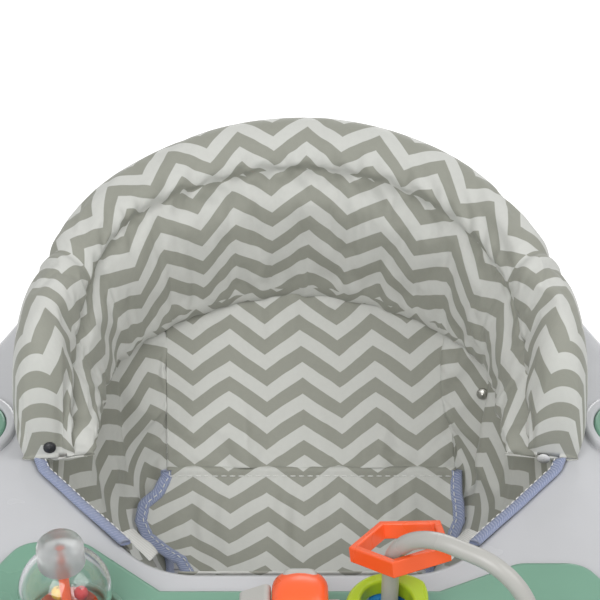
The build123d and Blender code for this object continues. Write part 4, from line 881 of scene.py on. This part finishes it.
class WALKER_OT_sling(bpy.types.Operator):
    """Hanging cloth: lower back panel, crotch strip and two side panels, with binding and stitching."""
    bl_idname = "walker.sling"
    bl_label = "Cloth seat"

    def execute(self, context):
        seat = context.scene.walker_seat
        cloth = context.scene.walker_cloth
        self.back(seat)
        self.strip(seat, cloth)
        for side, sign in (("right", 1), ("left", -1)):
            self.side(seat, cloth, side, sign)
        return {"FINISHED"}

    def places(self, points, zero):
        """Place on the cloth of each grid point, in metres, measured from a column and row."""
        row, column = zero
        middle = points.shape[1] // 2
        u = arc_length(points[:, middle])
        v = np.stack([arc_length(line) for line in points])
        u = np.repeat((u - u[row])[:, None], points.shape[1], 1)
        return np.stack([u, v - v[:, column:column + 1]], 2) * MM

    def finish_sheet(self, name, points, places, node, flat, sewn, frames, **settings):
        made = sheet(name, points * MM, places, bpy.data.materials["printed_polyester_taffeta"])
        put(made, "tray")
        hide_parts(node)
        settle(made, sewn.ravel(), frames, **settings)
        shape = points.shape
        final = coordinates(made).reshape(shape)
        thicken(made)
        return final

    def area(self, points):
        """Area of a grid of points given in millimetres, in square metres."""
        a = points[1:, :-1] - points[:-1, :-1]
        b = points[:-1, 1:] - points[:-1, :-1]
        c = points[1:, :-1] - points[1:, 1:]
        d = points[:-1, 1:] - points[1:, 1:]
        halves = [np.linalg.norm(np.cross(*pair), axis=2).sum() for pair in ((a, b), (c, d))]
        return 0.5 * sum(halves) * MM * MM

    def back(self, seat):
        """Lower back panel, with its print placed from the back seam."""
        points = back_panel_points(seat)
        places = self.places(points, (36, points.shape[1] - 1)) + np.array([0.0275, -0.0191])
        sewn = np.zeros(points.shape[:2])
        sewn[0] = sewn[-1] = 1.0
        sewn[:, 0] = sewn[:, -1] = 1.0
        self.finish_sheet("lower_back_panel", points, places, "back_panel", (0.24, 0.16), sewn, 18,
                          growth=0.018, cap=0.006, gravity=0.3, bend=0.4)

    def strip(self, seat, cloth):
        """Crotch strip from the back seam under the child to the front of the opening."""
        deck = seat.deck / MM
        low = deck - 123.0
        line = spline([(101.0, deck - 92), (98.0, deck - 92.5), (95.5, deck - 90.5), (93.0, deck - 91),
                       (91.5, deck - 94), (89.0, deck - 97), (82.0, deck - 100.5), (50.0, low + 2),
                       (8.0, low - 3), (-40.0, low + 16), (-74.0, low + 62), (-90.0, deck - 5)], 121)
        run = arc_length(line) / arc_length(line)[-1]
        stops = [-101, -91, -80, -73, -63, -51, -40, -31, -15, 40, 90]
        left = np.interp(-line[:, 0], stops, [-99, -99, -105, -115, -117, -111, -98, -86, -78, -74, -76])
        right = np.interp(-line[:, 0], stops, [116, 116, 116, 117, 117, 111, 98, 86, 78, 74, 76])
        rows = 61
        across = np.linspace(-1, 1, rows)
        points = np.zeros((rows, len(line), 3))
        points[:, :, 0] = left[None] + (right - left)[None] * (across[:, None] + 1) / 2
        cradle = 5.0 * (across ** 2)[:, None] * np.sin(np.pi * run)[None]
        along = np.gradient(line, axis=0)
        along /= np.linalg.norm(along, axis=1)[:, None]
        normal = np.stack([-along[:, 1], along[:, 0]], 1) * -1
        folds = 2.4 * ripple(31, across * 110, 70.0)[:, None] * (np.exp(-((run - 0.16) / 0.12) ** 2)
                                                                * np.clip(run * 14 - 0.7, 0, 1))[None]
        lift = cradle + folds
        points[:, :, 1] = line[None, :, 0] + normal[None, :, 0] * lift
        points[:, :, 2] = line[None, :, 1] + normal[None, :, 1] * lift
        places = self.places(points, (30, 6))
        places[:, :, 0] = (points[:, :, 0] + 20.6 + 27.5) * MM
        places[:, :, 1] -= 17.9 * MM
        sewn = np.zeros(points.shape[:2])
        sewn[:, :7] = sewn[:, -1:] = 1.0
        sewn[0] = sewn[-1] = 0.6
        final = self.finish_sheet("crotch_panel", points, places, "crotch_strip", (0.226, 0.30), sewn, 16,
                                  growth=0.02, cap=0.006, gravity=0.4, bend=0.4)
        up = np.zeros_like(final[:, 0])
        up[:, 1], up[:, 2] = -0.6, 0.8
        trail = final[:, 6] + up * 0.0011
        put(stitch_row("back_seam_stitches", resample(trail, 160), resample(up, 160), SEAM_STITCH), "tray")
        for name, row, tilt in (("left", 0, -0.7), ("right", -1, 0.7)):
            edge = final[row, 4:-10]
            face = np.tile([-0.3 * tilt, -0.35, 0.9], (len(edge), 1))
            put(tape(f"leg_binding_{name}", edge, face, cloth.tape,
                     bpy.data.materials["cotton_chambray_twill"]), "tray")
            seam = edge + np.array([-0.0022 * math.copysign(1, tilt), -0.0006, 0.0018])
            put(stitch_row(f"leg_stitches_{name}", seam, face, EDGE_STITCH), "tray")

    def side(self, seat, cloth, side, sign):
        """Side panel with soft vertical folds, bound along the rim and the leg hole."""
        deck = seat.deck / MM
        first = 105.0 if sign > 0 else 99.0
        curve = rim(seat, np.linspace(math.degrees(math.acos(first / 171)), 0, 24), 7.0)[0]
        shoulder = np.array([[172.0, 7.0], [167.0, -5.0]])
        line = np.array([[151.0, -23.0], [138.0, -38.0], [125.0, -52.0], [116.0, -62.0], [108.0, -71.0]])
        top_line = resample(np.concatenate([curve, shoulder, line]), 85)
        hem = spline([(116.0 if sign > 0 else 99.0, 96.5, -92.0), (110.0, 78.0, -126.0), (97.0, 52.0, -146.0),
                      (97.0, 14.0, -136.0), (102.0, -28.0, -98.0), (101.0, -60.0, -40.0)], 85)
        rows, columns = 85, 37
        run = np.linspace(0, 1, rows)
        down = np.linspace(0, 1, columns)
        top = np.concatenate([top_line, np.full((rows, 1), -1.5)], 1)
        points = top[:, None] + (hem - top)[:, None] * down[None, :, None]
        inward = np.stack([-np.ones(rows), -0.2 * np.ones(rows), 0.35 * np.ones(rows)], 1)
        inward /= np.linalg.norm(inward, axis=1)[:, None]
        reach = arc_length(top_line)
        waves = ripple(51 if sign > 0 else 57, reach, 58.0, 3)
        folds = 3.0 * waves[:, None] * (np.sin(np.pi * down) ** 0.7)[None]
        drop = np.sin(np.pi * np.clip(down * 0.92 + 0.04, 0, 1)) ** 0.6 * np.clip((0.86 - down) / 0.3, 0, 1)
        points[:, :, 0] += 20.0 * (np.sin(np.pi * run) ** 0.5)[:, None] * np.sin(np.pi * down ** 1.5)[None]
        for place, wide, deep in ((0.09, 0.085, 17.0), (0.255, 0.08, 14.0), (0.43, 0.1, 7.0)):
            tube = np.sqrt(np.clip(1 - ((run - place) / wide) ** 2, 0, 1))
            folds += deep * tube[:, None] * drop[None]
        folds *= np.clip(run * 60, 0, 1)[:, None]
        points += inward[:, None] * folds[:, :, None]
        points[:, :, 2] += deck
        points[:, :, 0] *= sign
        places = self.places(points, (0, 0))
        if sign < 0:
            points, places = points[::-1].copy(), places[::-1].copy()
        sewn = np.zeros(points.shape[:2])
        sewn[:, 0] = sewn[:, -1] = 1.0
        sewn[0] = sewn[-1] = 1.0
        final = self.finish_sheet(f"side_panel_cloth_{side}", points, places, f"side_panel_{side}",
                                  (0.27, 0.15), sewn, 18, growth=0.03, cap=0.008, gravity=0.3, bend=0.3)
        if sign < 0:
            final = final[::-1]
        rim_edge = final[30:, 0].copy()
        rim_edge += np.array([0.0012 * sign, -0.0006, 0.0026])
        up = np.tile([-0.35 * sign, 0.25, 0.9], (len(rim_edge), 1))
        twill = bpy.data.materials["cotton_chambray_twill"]
        put(tape(f"rim_binding_{side}", rim_edge, up, cloth.tape, twill), "tray")
        inner = rim_edge + np.array([-0.0026 * sign, 0.0016, 0.0016])
        put(stitch_row(f"rim_stitches_{side}", inner, up, EDGE_STITCH), "tray")
        hem_edge = final[2:-1, -1]
        out = np.tile([-0.8 * sign, -0.1, 0.5], (len(hem_edge), 1))
        put(tape(f"hem_binding_{side}", hem_edge, out, cloth.tape, twill), "tray")
        if sign > 0:
            row, column = 14, 9
            facing = np.cross(final[row, column + 1] - final[row, column - 1],
                              final[row + 1, column] - final[row - 1, column])
            facing *= -math.copysign(1, facing[0]) / np.linalg.norm(facing)
            put(snap("side_snap_right", final[row, column] + facing * 0.0008, facing, 0.0045,
                     bpy.data.materials["nickel_plated_brass"]), "tray")
        self.lining(seat, side, sign)

    def lining(self, seat, side, sign):
        """Short white lining that closes the corner between the rim's binding and the leg hole."""
        top = np.linspace((113.0, -62.0, 0.5), (93.0, -86.0, -0.5), 13)
        low = np.linspace((106.0, -48.0, -12.0), (90.0, -68.0, -13.0), 13)
        down = np.linspace(0, 1, 9)
        points = top[:, None] + (low - top)[:, None] * down[None, :, None]
        points += np.sin(np.pi * down)[None, :, None] * np.array([-2.0, 1.0, 2.5])
        points[:, :, 1] -= 2.0 * np.sin(np.pi * down)[None] * np.sin(np.linspace(0.4, 6.2, 13))[:, None]
        points[:, :, 0] *= sign
        points[:, :, 2] += seat.deck / MM
        made = sheet(f"leg_lining_{side}", points * MM, self.places(points, (0, 0)),
                     bpy.data.materials["white_polyester_lining"])
        put(made, "tray")
        thicken(made)


class WALKER_PT_panel(bpy.types.Panel):
    """Sidebar panel of the walker."""
    bl_label = "Baby walker"
    bl_idname = "WALKER_PT_panel"
    bl_space_type = "VIEW_3D"
    bl_region_type = "UI"
    bl_category = "Walker"

    def draw(self, context):
        layout = self.layout
        for group in ("walker_cloth", "walker_plastics", "walker_seat", "walker_stage"):
            settings = getattr(context.scene, group)
            box = layout.box()
            for name in settings.__annotations__:
                box.prop(settings, name)
        for operator in OPERATORS:
            layout.operator(operator.bl_idname)


GROUPS = {"walker_cloth": WalkerCloth, "walker_plastics": WalkerPlastics, "walker_seat": WalkerSeat,
          "walker_stage": WalkerStage}
OPERATORS = (WALKER_OT_stage, WALKER_OT_mouldings, WALKER_OT_beads, WALKER_OT_cloth, WALKER_OT_back_pad,
             WALKER_OT_sling)


def register():
    for made in (*GROUPS.values(), *OPERATORS, WALKER_PT_panel):
        bpy.utils.register_class(made)
    for name, group in GROUPS.items():
        setattr(bpy.types.Scene, name, bpy.props.PointerProperty(type=group))


def unregister():
    for name in GROUPS:
        delattr(bpy.types.Scene, name)
    for made in (WALKER_PT_panel, *OPERATORS[::-1], *list(GROUPS.values())[::-1]):
        bpy.utils.unregister_class(made)


def main():
    """Registers the add-on and builds every piece."""
    register()
    for operator in OPERATORS:
        group, name = operator.bl_idname.split(".")
        getattr(getattr(bpy.ops, group), name)()


if __name__ == "__main__":
    main()
